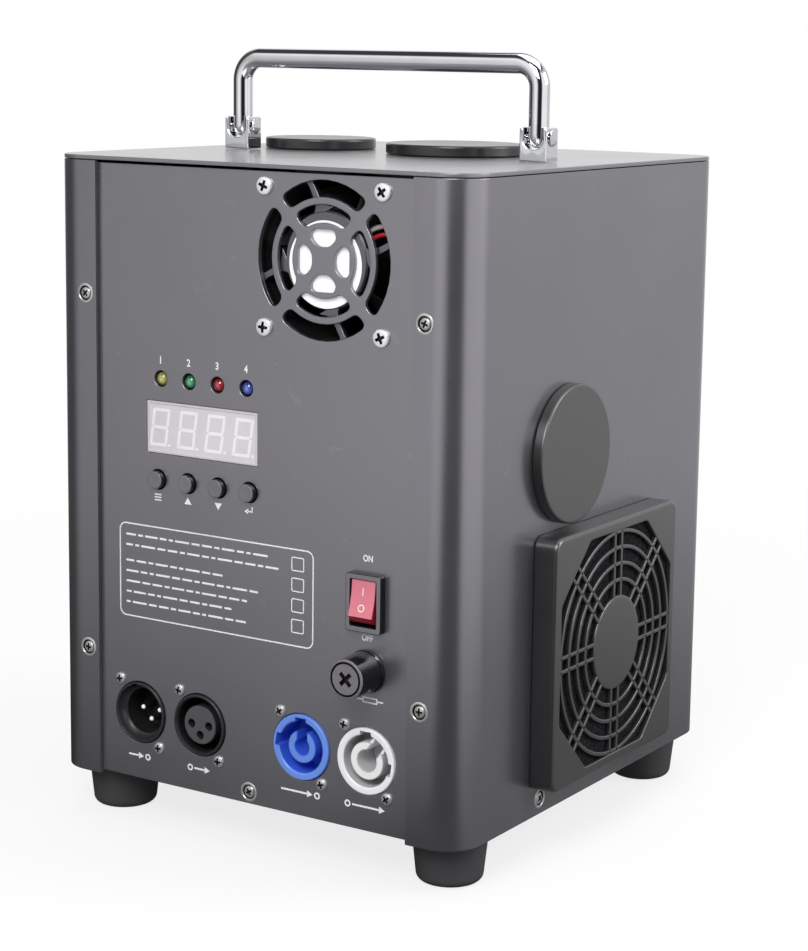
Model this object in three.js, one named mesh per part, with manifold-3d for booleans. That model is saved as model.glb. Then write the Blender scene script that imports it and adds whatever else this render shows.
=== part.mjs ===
// Cold spark machine: a table-top stage effect. Metal granules fall from a hopper into a feed screw, which
// pushes them into a heated chamber, and a blower throws them out of the top as a fountain of sparks.
// Millimetres, +Z up, control panel towards -Y, filter guard towards +X, feet standing on Z = 0.
import * as THREE from 'three';
import Module from 'manifold-3d';
import { mergeVertices } from 'three/addons/utils/BufferGeometryUtils.js';

const wasm = await Module();
wasm.setup();

// Driving dimensions
const housingWidth = 185; // left wall to right wall
const housingDepth = 191; // front returns to back wall
const shellHeight = 234.5; // wrapped shell alone
const cornerRadius = 14; // upright corners of shell and top plate
const sheet = 1.5; // folded steel
const footDrop = 17.5; // feet below the shell's lower edge
const handleMargin = 24.6; // from either side wall to the axis of the handle's leg
const handleSpan = housingWidth - 2 * handleMargin;
const handleRise = 27; // pivot to the centre of the bar
const rodRadius = 3.9; // chrome bar
const frontFanSize = 60;
const frontFanThickness = 25;
const sideFanSize = 92;
const sideFanThickness = 25;
const sideFanY = -0.9; // from the middle of the right wall
const guardOverhang = 1.2; // filter guard outside the side fan's frame
const guardDepth = 9.6;

// Gaps and cutting
const seat = 0.3; // left between pieces that rest on each other
const slack = 0.4; // round a piece that moves
const overrun = 1; // how far a cutting shape passes the face that it cuts
const weldTolerance = 1e-4;

// Facets
const studSides = 6;
const pinSides = 8;
const smallSides = 12;
const midSides = 16;
const largeSides = 20;
const cornerSteps = 3; // each step of an arc is drawn as two faces
const bendSteps = 4; // faces of a bend in the handle

// Places that follow from the driving dimensions
const halfWidth = housingWidth / 2;
const halfDepth = housingDepth / 2;
const panelFace = -halfDepth + sheet + seat; // the panel lies behind the shell's front returns
const plateBottom = shellHeight + seat;
const baseLift = 1.5; // base plate above the shell's lower edge
const baseLip = 9; // height of its turned-up edge
const lipTop = baseLift + baseLip;
const guardSize = sideFanSize + 2 * guardOverhang;
const sideFanGap = 1.7; // side fan above the base plate's lip
const sideFanZ = lipTop + sideFanGap + sideFanSize / 2;

const steel = material(0x55555b, 0.5, 0.3);
const blackPlastic = material(0x1c1c1f, 0.45, 0);
const blackRubber = material(0x2a2a2d, 0.8, 0);
const chrome = material(0xe8e8ea, 0.08, 1);
const zincSteel = material(0xb4b6b8, 0.35, 0.9);
const boardGreen = material(0x1f5a35, 0.5, 0);
const foamBlack = material(0x17161a, 1, 0);
const bluePlastic = material(0x3f62c8, 0.4, 0);
const greyPlastic = material(0xd9d9d6, 0.45, 0);
const redPlastic = material(0xd21f33, 0.25, 0);

function material(color, roughness, metalness) {
  return new THREE.MeshStandardMaterial({ color, roughness, metalness, flatShading: true });
}

// Shapes. Each returns a closed geometry with its axis, where it has one, along Z.

function box(width, depth, height, x = 0, y = 0, z = 0) {
  return new THREE.BoxGeometry(width, depth, height).translate(x, y, z + height / 2);
}

function rod(radius, length, sides, x = 0, y = 0, z = 0) {
  return new THREE.CylinderGeometry(radius, radius, length, sides)
    .rotateX(Math.PI / 2)
    .translate(x, y, z + length / 2);
}

// points are [radius, height] pairs that start and end on the axis, or close on themselves
function turned(points, sides) {
  const profile = points.map(([radius, height]) => new THREE.Vector2(radius, height));
  return new THREE.LatheGeometry(profile, sides).rotateX(Math.PI / 2);
}

function ringSolid(outer, inner, bottom, top, sides) {
  return turned([[inner, bottom], [outer, bottom], [outer, top], [inner, top], [inner, bottom]], sides);
}

function slab(shape, thickness, z = 0, curveSegments = 1) {
  const settings = { depth: thickness, bevelEnabled: false, curveSegments };
  return new THREE.ExtrudeGeometry(shape, settings).translate(0, 0, z);
}

function roundedRect(width, height, radius, x = 0, y = 0) {
  const shape = new THREE.Shape();
  const right = x + width / 2 - radius;
  const left = x - width / 2 + radius;
  const top = y + height / 2 - radius;
  const bottom = y - height / 2 + radius;
  shape.absarc(right, bottom, radius, -Math.PI / 2, 0);
  shape.absarc(right, top, radius, 0, Math.PI / 2);
  shape.absarc(left, top, radius, Math.PI / 2, Math.PI);
  shape.absarc(left, bottom, radius, Math.PI, 1.5 * Math.PI);
  return shape;
}

function rectangle(width, height, x = 0, y = 0) {
  const corner = (a, b) => new THREE.Vector2(x + (a * width) / 2, y + (b * height) / 2);
  return new THREE.Path([corner(-1, -1), corner(1, -1), corner(1, 1), corner(-1, 1)]);
}

function circlePoints(radius, sides, x = 0, y = 0) {
  const points = [];
  for (let i = 0; i < sides; i++) {
    const angle = (2 * Math.PI * i) / sides;
    points.push(new THREE.Vector2(x + radius * Math.cos(angle), y + radius * Math.sin(angle)));
  }
  return points;
}

function hole(radius, sides, x = 0, y = 0) {
  return new THREE.Path(circlePoints(radius, sides, x, y));
}

// Outline through corners that are each cut back by the same length and rounded with a curve
function softened(corners, cutBack, steps) {
  const path = new THREE.Path();
  corners.forEach((corner, i) => {
    const before = corners[(i + corners.length - 1) % corners.length];
    const after = corners[(i + 1) % corners.length];
    const from = corner.clone().add(before.clone().sub(corner).setLength(cutBack));
    const to = corner.clone().add(after.clone().sub(corner).setLength(cutBack));
    if (i === 0) path.moveTo(from.x, from.y);
    else path.lineTo(from.x, from.y);
    path.quadraticCurveTo(corner.x, corner.y, to.x, to.y);
  });
  path.closePath();
  return path.getPoints(steps);
}

function turnedPoints(points, angle, x = 0, y = 0) {
  const centre = new THREE.Vector2(0, 0);
  return points.map((p) => p.clone().rotateAround(centre, angle).add(new THREE.Vector2(x, y)));
}

// Turns a shape so that its X, Y and Z lie along Y, Z and X
function sideways(geometry) {
  const [x, y, z] = [new THREE.Vector3(1, 0, 0), new THREE.Vector3(0, 1, 0), new THREE.Vector3(0, 0, 1)];
  return geometry.applyMatrix4(new THREE.Matrix4().makeBasis(y, z, x));
}

// Joining and cutting

function toSolid(geometry) {
  const bare = geometry.clone();
  bare.deleteAttribute('normal');
  bare.deleteAttribute('uv');
  const welded = mergeVertices(bare, weldTolerance);
  const position = welded.attributes.position;
  const index = welded.index.array;
  const corner = [new THREE.Vector3(), new THREE.Vector3(), new THREE.Vector3()];
  const triangles = [];
  let volume = 0;
  for (let i = 0; i < index.length; i += 3) {
    const [a, b, c] = [index[i], index[i + 1], index[i + 2]];
    if (a === b || b === c || a === c) continue;
    triangles.push(a, b, c);
    corner.forEach((v, k) => v.fromBufferAttribute(position, index[i + k]));
    volume += corner[0].dot(corner[1].cross(corner[2]));
  }
  if (volume < 0) triangles.reverse();
  return new wasm.Manifold(new wasm.Mesh({
    numProp: 3,
    vertProperties: new Float32Array(position.array),
    triVerts: new Uint32Array(triangles),
  }));
}

function toGeometry(solid) {
  const mesh = solid.getMesh();
  const geometry = new THREE.BufferGeometry();
  geometry.setAttribute('position', new THREE.Float32BufferAttribute(mesh.vertProperties, mesh.numProp));
  geometry.setIndex(Array.from(mesh.triVerts));
  return geometry;
}

function joined(...shapes) {
  return toGeometry(shapes.map(toSolid).reduce((sum, shape) => sum.add(shape)));
}

function cut(body, ...tools) {
  return toGeometry(tools.map(toSolid).reduce((rest, tool) => rest.subtract(tool), toSolid(body)));
}

function addPart(parent, name, geometry, finish, x = 0, y = 0, z = 0) {
  const closed = toGeometry(toSolid(geometry));
  closed.computeVertexNormals();
  const mesh = new THREE.Mesh(closed, finish);
  mesh.name = name;
  mesh.position.set(x, y, z);
  parent.add(mesh);
  return mesh;
}

// Frames of reference. Inside each one, Z points out of its face.

const machine = new THREE.Group();

const housing = new THREE.Group(); // Z = 0 at the shell's lower edge
machine.add(housing);

const front = new THREE.Group(); // X to the right, Y up, Z = 0 on the panel's face
front.position.set(0, panelFace, 0);
front.rotation.x = Math.PI / 2;
housing.add(front);

const side = new THREE.Group(); // X to the back, Y up, Z = 0 on the right wall's outer face
side.position.set(halfWidth, 0, 0);
side.quaternion.set(0.5, 0.5, 0.5, 0.5);
housing.add(side);

const top = new THREE.Group(); // Z = 0 on the top plate's upper face
top.position.set(0, 0, plateBottom + sheet);
housing.add(top);

// Shell, panel, top plate and base plate

const returnWidth = 22.5; // front returns, from the side walls' outer faces
const seamX = halfWidth - returnWidth;
const topFlange = 11; // in-turned strip that carries the top plate
const flangeNotch = 2; // relief at each end of a bent strip
const openingMargin = 3; // side fan's frame outside the hole in the right wall
const sideFanOpening = sideFanSize / 2 - openingMargin;
const portCapRadius = 25.6;
const portLip = 5.1; // cap outside its hole
const portGap = 1.9; // between the guard and the cap
const portHole = portCapRadius - portLip;
const portY = -25.6; // from the middle of the right wall
const portZ = sideFanZ + guardSize / 2 + portGap + portCapRadius;

function shellOutline() {
  const shape = new THREE.Shape();
  const inner = cornerRadius - sheet;
  const cornerX = halfWidth - cornerRadius;
  const cornerY = halfDepth - cornerRadius;
  shape.moveTo(seamX, -halfDepth);
  shape.absarc(cornerX, -cornerY, cornerRadius, -Math.PI / 2, 0);
  shape.absarc(cornerX, cornerY, cornerRadius, 0, Math.PI / 2);
  shape.absarc(-cornerX, cornerY, cornerRadius, Math.PI / 2, Math.PI);
  shape.absarc(-cornerX, -cornerY, cornerRadius, Math.PI, 1.5 * Math.PI);
  shape.lineTo(-seamX, -halfDepth);
  shape.lineTo(-seamX, -halfDepth + sheet);
  shape.absarc(-cornerX, -cornerY, inner, 1.5 * Math.PI, Math.PI, true);
  shape.absarc(-cornerX, cornerY, inner, Math.PI, Math.PI / 2, true);
  shape.absarc(cornerX, cornerY, inner, Math.PI / 2, 0, true);
  shape.absarc(cornerX, -cornerY, inner, 0, -Math.PI / 2, true);
  shape.lineTo(seamX, -halfDepth + sheet);
  return shape;
}

function wrapShell() {
  const walls = slab(shellOutline(), shellHeight, 0, cornerSteps);
  const reach = topFlange - sheet / 2;
  const sideLength = housingDepth - 2 * (cornerRadius + flangeNotch);
  const backLength = housingWidth - 2 * (cornerRadius + flangeNotch);
  const sideOffset = halfWidth - sheet / 2 - reach / 2;
  const z = shellHeight - sheet;
  const body = joined(
    walls,
    box(reach, sideLength, sheet, sideOffset, 0, z),
    box(reach, sideLength, sheet, -sideOffset, 0, z),
    box(backLength, reach, sheet, 0, halfDepth - sheet / 2 - reach / 2, z),
  );
  const throughWall = sheet + 2 * overrun;
  const bore = (radius, y, zCentre) => rod(radius, throughWall, largeSides, 0, 0, -throughWall + overrun)
    .rotateX(Math.PI / 2)
    .rotateZ(Math.PI / 2)
    .translate(halfWidth, y, zCentre);
  return cut(body, bore(sideFanOpening, sideFanY, sideFanZ), bore(portHole, portY, portZ));
}
addPart(housing, 'wrap_shell', wrapShell(), steel);

// Front fan grille, cut straight into the panel
const grilleMargin = 1.9; // fan frame outside the outer windows
const outerWindowWidth = 5.9;
const ringWidth = 2.5; // solid ring between the two rows of windows
const innerWindowWidth = 6.4;
const petalRim = 2.3; // solid ring round the petals
const outerWindowOuter = frontFanSize / 2 - grilleMargin;
const outerWindowInner = outerWindowOuter - outerWindowWidth;
const grilleRing = outerWindowInner - ringWidth; // outer edge of the inner windows
const grilleHub = grilleRing - innerWindowWidth;
const grilleBridge = 4.3; // width of the diagonal bridges
const windowSoft = 2.2; // rounding of the window corners
const petalOuter = grilleHub - petalRim;
const petalShares = [[0.44, 0.21], [0.73, 0.46], [1, 0.38]]; // reach and half width, of petalOuter
const petalSoftShare = 0.12;
const grilleSpokes = 4;
const windowSteps = 2;

// One window between two radii and two neighbouring diagonal bridges, pointing along +X
function grilleWindow(inner, outer) {
  const halfAngle = (radius) => Math.PI / grilleSpokes - Math.asin(grilleBridge / 2 / radius);
  const at = (radius, angle) => new THREE.Vector2(radius * Math.cos(angle), radius * Math.sin(angle));
  const outerEnd = halfAngle(outer);
  const innerEnd = halfAngle(inner);
  const soft = Math.min(windowSoft, (outer - inner) / 2.2); // the two roundings of an end stay apart
  const path = new THREE.Path();
  for (const turn of [1, -1]) {
    const outerCorner = at(outer, turn * outerEnd);
    const innerCorner = at(inner, turn * innerEnd);
    const edge = innerCorner.clone().sub(outerCorner).setLength(soft);
    const fromOuter = outerCorner.clone().add(edge);
    const fromInner = innerCorner.clone().sub(edge);
    if (turn === 1) {
      path.absarc(0, 0, outer, -outerEnd + soft / outer, outerEnd - soft / outer);
      path.quadraticCurveTo(outerCorner.x, outerCorner.y, fromOuter.x, fromOuter.y);
      path.lineTo(fromInner.x, fromInner.y);
      path.quadraticCurveTo(innerCorner.x, innerCorner.y, ...at(inner, innerEnd - soft / inner));
    } else {
      path.absarc(0, 0, inner, innerEnd - soft / inner, -innerEnd + soft / inner, true);
      path.quadraticCurveTo(innerCorner.x, innerCorner.y, fromInner.x, fromInner.y);
      path.lineTo(fromOuter.x, fromOuter.y);
      path.quadraticCurveTo(outerCorner.x, outerCorner.y, ...at(outer, -outerEnd + soft / outer));
    }
  }
  return path.getPoints(windowSteps);
}

function petal() {
  const lower = petalShares.map(([reach, half]) => (
    new THREE.Vector2(reach, -half).multiplyScalar(petalOuter)
  ));
  const upper = lower.map((p) => new THREE.Vector2(p.x, -p.y)).reverse();
  return softened([...lower, ...upper], petalSoftShare * petalOuter, 1);
}

function fanGrille(x, y) {
  const outlines = [
    grilleWindow(grilleHub, grilleRing),
    grilleWindow(outerWindowInner, outerWindowOuter),
    petal(),
  ];
  const paths = [];
  for (let i = 0; i < grilleSpokes; i++) {
    const angle = (2 * Math.PI * i) / grilleSpokes;
    for (const outline of outlines) paths.push(new THREE.Path(turnedPoints(outline, angle, x, y)));
  }
  return paths;
}

// The control panel. X is from its middle and Z from the shell's lower edge.
const panelPast = 0.5; // panel reaches past the start of the shell's corner bends
const panelHalf = halfWidth - cornerRadius + panelPast;
const panelLift = 1; // lower edge above the shell's
const panelDrop = 0.7; // upper edge below the shell's

// Fan, near the upper right corner
const frontFanTop = 0.9; // fan frame below the shell's upper edge
const frontFanInset = 17.3; // fan frame from the panel's right edge
const frontFanX = panelHalf - frontFanInset - frontFanSize / 2;
const frontFanZ = shellHeight - frontFanTop - frontFanSize / 2;

// Lamps, display and buttons hang below the fan on one board
const displayWidth = 50.3;
const displayHeight = 19;
const displaySet = 1; // face behind the panel's
const displayInset = 31.85; // from the panel's left edge
const displayX = -panelHalf + displayInset + displayWidth / 2;
const boardSet = 9; // board behind the panel's inner face
const boardGap = 8.6; // below the fan frame
const boardMargin = 8.85; // outside the display, left and right
const boardTop = frontFanZ - frontFanSize / 2 - boardGap;
const boardLeft = displayX - displayWidth / 2 - boardMargin;
const boardRight = displayX + displayWidth / 2 + boardMargin;
const lampRadius = 2.5;
const lampDrop = 9.3; // below the board's upper edge
const lampGap = 8.7; // above the display
const lampZ = boardTop - lampDrop;
const displayZ = lampZ - lampGap - displayHeight / 2;
const controlPitch = 13.06;
const controlCount = 4;
const controlShift = 0.79; // right of the display's middle
const controlStartX = displayX + controlShift - ((controlCount - 1) / 2) * controlPitch;
const buttonRadius = 3.6;
const buttonPitch = 14.03;
const buttonProud = 2.6;
const buttonTravel = 0.8;
const buttonGap = 10.1; // below the display
const buttonZ = displayZ - displayHeight / 2 - buttonGap;
const boardEnd = 11.9; // below the buttons
const boardBottom = buttonZ - boardEnd;
const studRadius = 2;
const studInset = 4;

// Sockets stand in two pairs over the base plate's lip, fuse and switch above the right pair
const powerNose = 12.2;
const noseStep = 0.5; // signal sockets smaller than power sockets
const signalNose = powerNose - noseStep;
const flangeSide = 0.8; // flange outside a power socket's nose, left and right
const flangeEnd = 3.3; // and above and below
const socketFlangeWidth = 2 * (powerNose + flangeSide);
const socketFlangeHeight = 2 * (powerNose + flangeEnd);
const socketLift = 1; // flanges above the lip
const socketZ = lipTop + socketLift + socketFlangeHeight / 2;
const pairGap = 2.35; // between the two flanges of a pair
const socketSpare = 2 * panelHalf - 4 * socketFlangeWidth - 2 * pairGap;
const spareLeftShare = 0.3; // spare width left of the signal pair
const spareRightShare = 0.28; // and right of the power pair; the rest is between them
const socketPitch = socketFlangeWidth + pairGap;
const signalFirst = -panelHalf + spareLeftShare * socketSpare + socketFlangeWidth / 2;
const powerLast = panelHalf - spareRightShare * socketSpare - socketFlangeWidth / 2;
const signalSockets = { signal_inlet: signalFirst, signal_outlet: signalFirst + socketPitch };
const powerSockets = { power_inlet: powerLast - socketPitch, power_outlet: powerLast };
const fuseBarrel = 6;
const fuseRim = 2; // flange outside the barrel
const fuseFlange = fuseBarrel + fuseRim;
const fuseGap = 9.4; // above the sockets' flanges
const fuseZ = socketZ + socketFlangeHeight / 2 + fuseGap + fuseFlange;
const switchBodyWidth = 12.6;
const switchBodyHeight = 18.8;
const bezelRim = 1.2; // bezel outside the body, left and right
const bezelEnd = 1.1; // and above and below
const bezelWidth = switchBodyWidth + 2 * bezelRim;
const bezelHeight = switchBodyHeight + 2 * bezelEnd;
const switchGap = 6.5; // above the fuse holder
const switchZ = fuseZ + fuseFlange + switchGap + bezelHeight / 2;
const switchInset = 27; // middle of switch and fuse from the panel's right edge
const switchX = panelHalf - switchInset;
const fuseX = switchX;

const controlX = (i) => controlStartX + i * controlPitch;
const buttonX = (i) => displayX + controlShift + (i - (controlCount - 1) / 2) * buttonPitch;

function controlPanel() {
  const shape = new THREE.Shape();
  shape.moveTo(-panelHalf, panelLift);
  shape.lineTo(panelHalf, panelLift);
  shape.lineTo(panelHalf, shellHeight - panelDrop);
  shape.lineTo(-panelHalf, shellHeight - panelDrop);
  shape.holes.push(...fanGrille(frontFanX, frontFanZ));
  shape.holes.push(rectangle(displayWidth + 2 * seat, displayHeight + 2 * seat, displayX, displayZ));
  for (let i = 0; i < controlCount; i++) {
    shape.holes.push(hole(lampRadius + seat, pinSides, controlX(i), lampZ));
    shape.holes.push(hole(buttonRadius + slack, smallSides, buttonX(i), buttonZ));
  }
  shape.holes.push(rectangle(switchBodyWidth + 2 * seat, switchBodyHeight + 2 * seat, switchX, switchZ));
  shape.holes.push(hole(fuseBarrel + seat, smallSides, fuseX, fuseZ));
  for (const x of Object.values(signalSockets)) {
    shape.holes.push(hole(signalNose + seat, midSides, x, socketZ));
  }
  for (const x of Object.values(powerSockets)) {
    shape.holes.push(hole(powerNose + seat, midSides, x, socketZ));
  }
  const studLength = boardSet - seat;
  const studs = [];
  for (const x of [boardLeft + studInset, boardRight - studInset]) {
    for (const z of [boardBottom + studInset, boardTop - studInset]) {
      studs.push(rod(studRadius, studLength + sheet / 2, studSides, x, z, -sheet - studLength));
    }
  }
  return joined(slab(shape, sheet, -sheet), ...studs);
}
addPart(front, 'control_panel', controlPanel(), steel);

// Caps and handle of the top, X and Y from the middle of the plate
const handleY = -8.4;
const bracketDepth = 9;
const outletCapRadius = 27.3;
const outletLip = 5.3; // cap outside its hole
const outletHole = outletCapRadius - outletLip;
const hopperCapRadius = 22.3;
const hopperLip = 4.8;
const hopperHole = hopperCapRadius - hopperLip;
const hopperFlangeRim = 4.5; // hopper's flange outside the hole
const hopperFlange = hopperHole + hopperFlangeRim;
const hopperInset = 9.3; // hopper's flange from the shell's top flange
const hopperX = -halfWidth + topFlange + hopperInset + hopperFlange;
const hopperBehind = 1.8; // cap behind the handle's brackets
const hopperY = handleY + bracketDepth / 2 + hopperBehind + hopperCapRadius;
const capGap = 17; // between the two caps
const outletX = hopperX + hopperCapRadius + capGap + outletCapRadius;
const outletAhead = 1.9; // cap's front edge before the handle's middle
const outletY = handleY - outletAhead + outletCapRadius;
const capHeight = 4.1;

function topPlate() {
  const shape = roundedRect(housingWidth, housingDepth, cornerRadius);
  shape.holes.push(hole(outletHole, largeSides, outletX, outletY));
  shape.holes.push(hole(hopperHole, largeSides, hopperX, hopperY));
  return slab(shape, sheet, -sheet, cornerSteps);
}
addPart(top, 'top_plate', topPlate(), steel);

const baseCorner = cornerRadius - sheet - seat;
const baseHalfWidth = halfWidth - sheet - seat;
const baseBack = halfDepth - sheet - seat;
const baseFront = panelFace + sheet + seat;
const baseFloor = baseLift + sheet; // upper face of the plate

function basePlate() {
  const depth = baseBack - baseFront;
  const middle = (baseBack + baseFront) / 2;
  const plate = slab(roundedRect(2 * baseHalfWidth, depth, baseCorner, 0, middle), sheet, baseLift, 2);
  const acrossLength = 2 * (baseHalfWidth - baseCorner - flangeNotch);
  const alongLength = depth - 2 * (baseCorner + flangeNotch);
  return joined(
    plate,
    box(acrossLength, sheet, baseLip, 0, baseFront + sheet / 2, baseLift),
    box(acrossLength, sheet, baseLip, 0, baseBack - sheet / 2, baseLift),
    box(sheet, alongLength, baseLip, baseHalfWidth - sheet / 2, middle, baseLift),
    box(sheet, alongLength, baseLip, -baseHalfWidth + sheet / 2, middle, baseLift),
  );
}
addPart(housing, 'base_plate', basePlate(), steel);

// Feet
const footTop = 14;
const footBottom = 11.6;
const footRound = 2.5; // rounding of the lower edge
const footBore = 5; // recess for the screw
const footBoreDepth = 9;
const footInsetX = 17;
const footInsetY = 21.5;

function foot() {
  const upper = baseLift - seat;
  const lower = -footDrop;
  const softShare = 0.3;
  return turned([
    [0, upper], [footTop, upper], [footBottom + softShare * footRound, lower + footRound],
    [footBottom - softShare * footRound, lower + softShare * footRound], [footBottom - footRound, lower],
    [footBore, lower], [footBore, lower + footBoreDepth], [0, lower + footBoreDepth],
  ], midSides);
}
for (const [y, end] of [[-1, 'front'], [1, 'back']]) {
  for (const [x, hand] of [[-1, 'left'], [1, 'right']]) {
    addPart(housing, `foot_${end}_${hand}`, foot(), blackRubber,
      x * (halfWidth - footInsetX), y * (halfDepth - footInsetY), 0);
  }
}

// Handle, its brackets and pins
const pivotHeight = 8.6; // above the bracket's foot
const handleBend = 8.8; // centre line of the bar's corners
const bracketCheek = 1.4;
const bracketHeight = 12.5;
const bracketSoft = 0.9;
const slotHalf = rodRadius + slack;
const bracketHalf = slotHalf + bracketCheek;
const pinRadius = 1.9;
const pinHead = 3.1;
const pinHeadHeight = 0.9;
const barSides = 10;
const slotSteps = 3;

function handleBail() {
  const half = handleSpan / 2;
  const corners = [[-half, 0], [-half, handleRise], [half, handleRise], [half, 0]]
    .map(([x, z]) => new THREE.Vector3(x, 0, z));
  const points = [corners[0]];
  for (const i of [1, 2]) {
    const from = corners[i].clone().add(corners[i - 1].clone().sub(corners[i]).setLength(handleBend));
    const to = corners[i].clone().add(corners[i + 1].clone().sub(corners[i]).setLength(handleBend));
    const centre = from.clone().add(to).sub(corners[i]);
    const start = Math.atan2(from.z - centre.z, from.x - centre.x);
    for (let step = 0; step <= bendSteps; step++) {
      const angle = start - (Math.PI / 2) * (step / bendSteps);
      const offset = new THREE.Vector3(Math.cos(angle), 0, Math.sin(angle)).multiplyScalar(handleBend);
      points.push(centre.clone().add(offset));
    }
  }
  points.push(corners[3]);
  const stations = points.map((point) => [point, 1]);
  for (const angle of [Math.PI / 5, Math.PI * 0.42]) { // rounded ends below the pivots
    const drop = new THREE.Vector3(0, 0, -rodRadius * Math.sin(angle));
    stations.unshift([corners[0].clone().add(drop), Math.cos(angle)]);
    stations.push([corners[3].clone().add(drop), Math.cos(angle)]);
  }
  const reach = handleSpan + 4 * rodRadius;
  const bore = rod(pinRadius + slack / 2, reach, pinSides, 0, 0, -reach / 2).rotateY(Math.PI / 2);
  return cut(sweep(circlePoints(rodRadius, barSides), stations), bore);
}

// A section carried along mitred straights in the X-Z plane. Each station is [point, scale].
function sweep(section, stations) {
  const rings = stations.map(([point, scale], i) => {
    const before = stations[Math.max(i - 1, 0)][0];
    const after = stations[Math.min(i + 1, stations.length - 1)][0];
    const along = after.clone().sub(before).normalize();
    const outward = new THREE.Vector3(along.z, 0, -along.x);
    const step = point.clone().sub(i > 0 ? before : after).normalize();
    const stretch = scale / Math.abs(step.dot(along));
    return section.map((p) => point.clone()
      .addScaledVector(outward, p.x * stretch)
      .add(new THREE.Vector3(0, p.y * scale, 0)));
  });
  return loft(rings);
}

// A closed skin over rings of equal count, with a flat fan at each end
function loft(rings) {
  const count = rings[0].length;
  const positions = rings.flat().flatMap((p) => [p.x, p.y, p.z]);
  const index = [];
  for (let r = 0; r < rings.length - 1; r++) {
    for (let i = 0; i < count; i++) {
      const a = r * count + i;
      const b = r * count + (i + 1) % count;
      index.push(a, b, b + count, a, b + count, a + count);
    }
  }
  const last = (rings.length - 1) * count;
  for (let i = 1; i < count - 1; i++) {
    index.push(0, i + 1, i, last, last + i, last + i + 1);
  }
  const geometry = new THREE.BufferGeometry();
  geometry.setAttribute('position', new THREE.Float32BufferAttribute(positions, 3));
  geometry.setIndex(index);
  return geometry;
}

function handleBracket() {
  const shape = new THREE.Shape();
  shape.moveTo(-bracketHalf, 0);
  shape.lineTo(bracketHalf, 0);
  shape.lineTo(bracketHalf, bracketHeight - bracketSoft);
  shape.lineTo(slotHalf, bracketHeight);
  shape.absarc(0, pivotHeight, slotHalf, 0, -Math.PI, true);
  shape.lineTo(-slotHalf, bracketHeight);
  shape.lineTo(-bracketHalf, bracketHeight - bracketSoft);
  const block = slab(shape, bracketDepth, -bracketDepth / 2, slotSteps).rotateX(Math.PI / 2);
  const bore = rod(pinRadius, 2 * bracketHalf + 2 * overrun, pinSides, 0, 0, -bracketHalf - overrun)
    .rotateY(Math.PI / 2)
    .translate(0, 0, pivotHeight);
  return cut(block, bore);
}

function handlePin() {
  const shank = pinRadius - slack / 4;
  const half = bracketHalf + slack / 4;
  return turned([
    [0, -half - pinHeadHeight], [pinHead, -half - pinHeadHeight], [pinHead, -half], [shank, -half],
    [shank, half], [pinHead, half], [pinHead, half + pinHeadHeight], [0, half + pinHeadHeight],
  ], pinSides).rotateY(Math.PI / 2);
}

for (const [turn, hand] of [[-1, 'left'], [1, 'right']]) {
  const x = (turn * handleSpan) / 2;
  addPart(top, `handle_bracket_${hand}`, handleBracket(), chrome, x, handleY, seat);
  addPart(top, `handle_pin_${hand}`, handlePin(), chrome, x, handleY, pivotHeight + seat);
}
addPart(top, 'handle_bail', handleBail(), chrome, 0, handleY, pivotHeight + seat);

// Round push-in caps: a disc on a hollow skirt
const capWall = 1.6;
const capSoft = 0.7;
const capSkirt = 7;

function pushCap(radius, skirtRadius) {
  return turned([
    [0, seat + capHeight], [radius - capSoft, seat + capHeight], [radius, seat + capHeight - capSoft],
    [radius, seat], [skirtRadius, seat], [skirtRadius, seat - capSkirt],
    [skirtRadius - capWall, seat - capSkirt], [skirtRadius - capWall, seat + capWall], [0, seat + capWall],
  ], largeSides);
}
addPart(top, 'outlet_cap', pushCap(outletCapRadius, outletHole - slack), blackPlastic, outletX, outletY);
addPart(top, 'hopper_cap', pushCap(hopperCapRadius, hopperHole - slack), blackPlastic, hopperX, hopperY);
addPart(side, 'side_port_cap', pushCap(portCapRadius, portHole - slack), blackPlastic, portY, portZ);

// Fans: a frame of two square flanges on a round duct, with struts that carry the motor
const fanFlange = 3.5;
const fanDuctWall = 1.8;
const fanCorner = 3;
const fanTip = 0.6; // clearance round the blades
const fanStruts = 4;
const strutTurnShare = 0.165; // of the angle between two struts
const strutWidth = 3.2;
const strutDepth = 2.6;
const hubShare = 0.29; // motor hub radius as a share of the frame's size
const fanBladeCount = 7;
const bladeThickness = 1.1;
const bladeTwistShares = [0.62, 0.42]; // blade width at root and tip as shares of the frame's depth
const bladePitch = [0.95, 0.6]; // radians from the fan's plane at root and tip
const bladeRings = 2;
const bladeSweep = 2.5; // how far the blade's tip trails its root
const fanSides = 16;
const shaftRadius = 1.5;

function fanFrame(size, thickness) {
  const bore = size / 2 - fanDuctWall;
  const flange = roundedRect(size, size, fanCorner);
  flange.holes.push(hole(bore, fanSides));
  const hub = hubShare * size;
  const struts = [];
  for (let i = 0; i < fanStruts; i++) {
    const length = size / 2 - fanDuctWall / 2;
    struts.push(box(length, strutWidth, strutDepth, length / 2, 0, -strutDepth)
      .rotateZ((2 * Math.PI * (i + strutTurnShare)) / fanStruts));
  }
  return joined(
    slab(flange, fanFlange, -fanFlange),
    slab(flange, fanFlange, -thickness),
    ringSolid(size / 2, bore, -thickness + overrun, -overrun, fanSides),
    rod(hub, strutDepth, midSides, 0, 0, -strutDepth),
    ...struts,
    rod(shaftRadius, strutDepth + slack + fanFlange, pinSides, 0, 0, -strutDepth - slack - fanFlange),
  );
}

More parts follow.
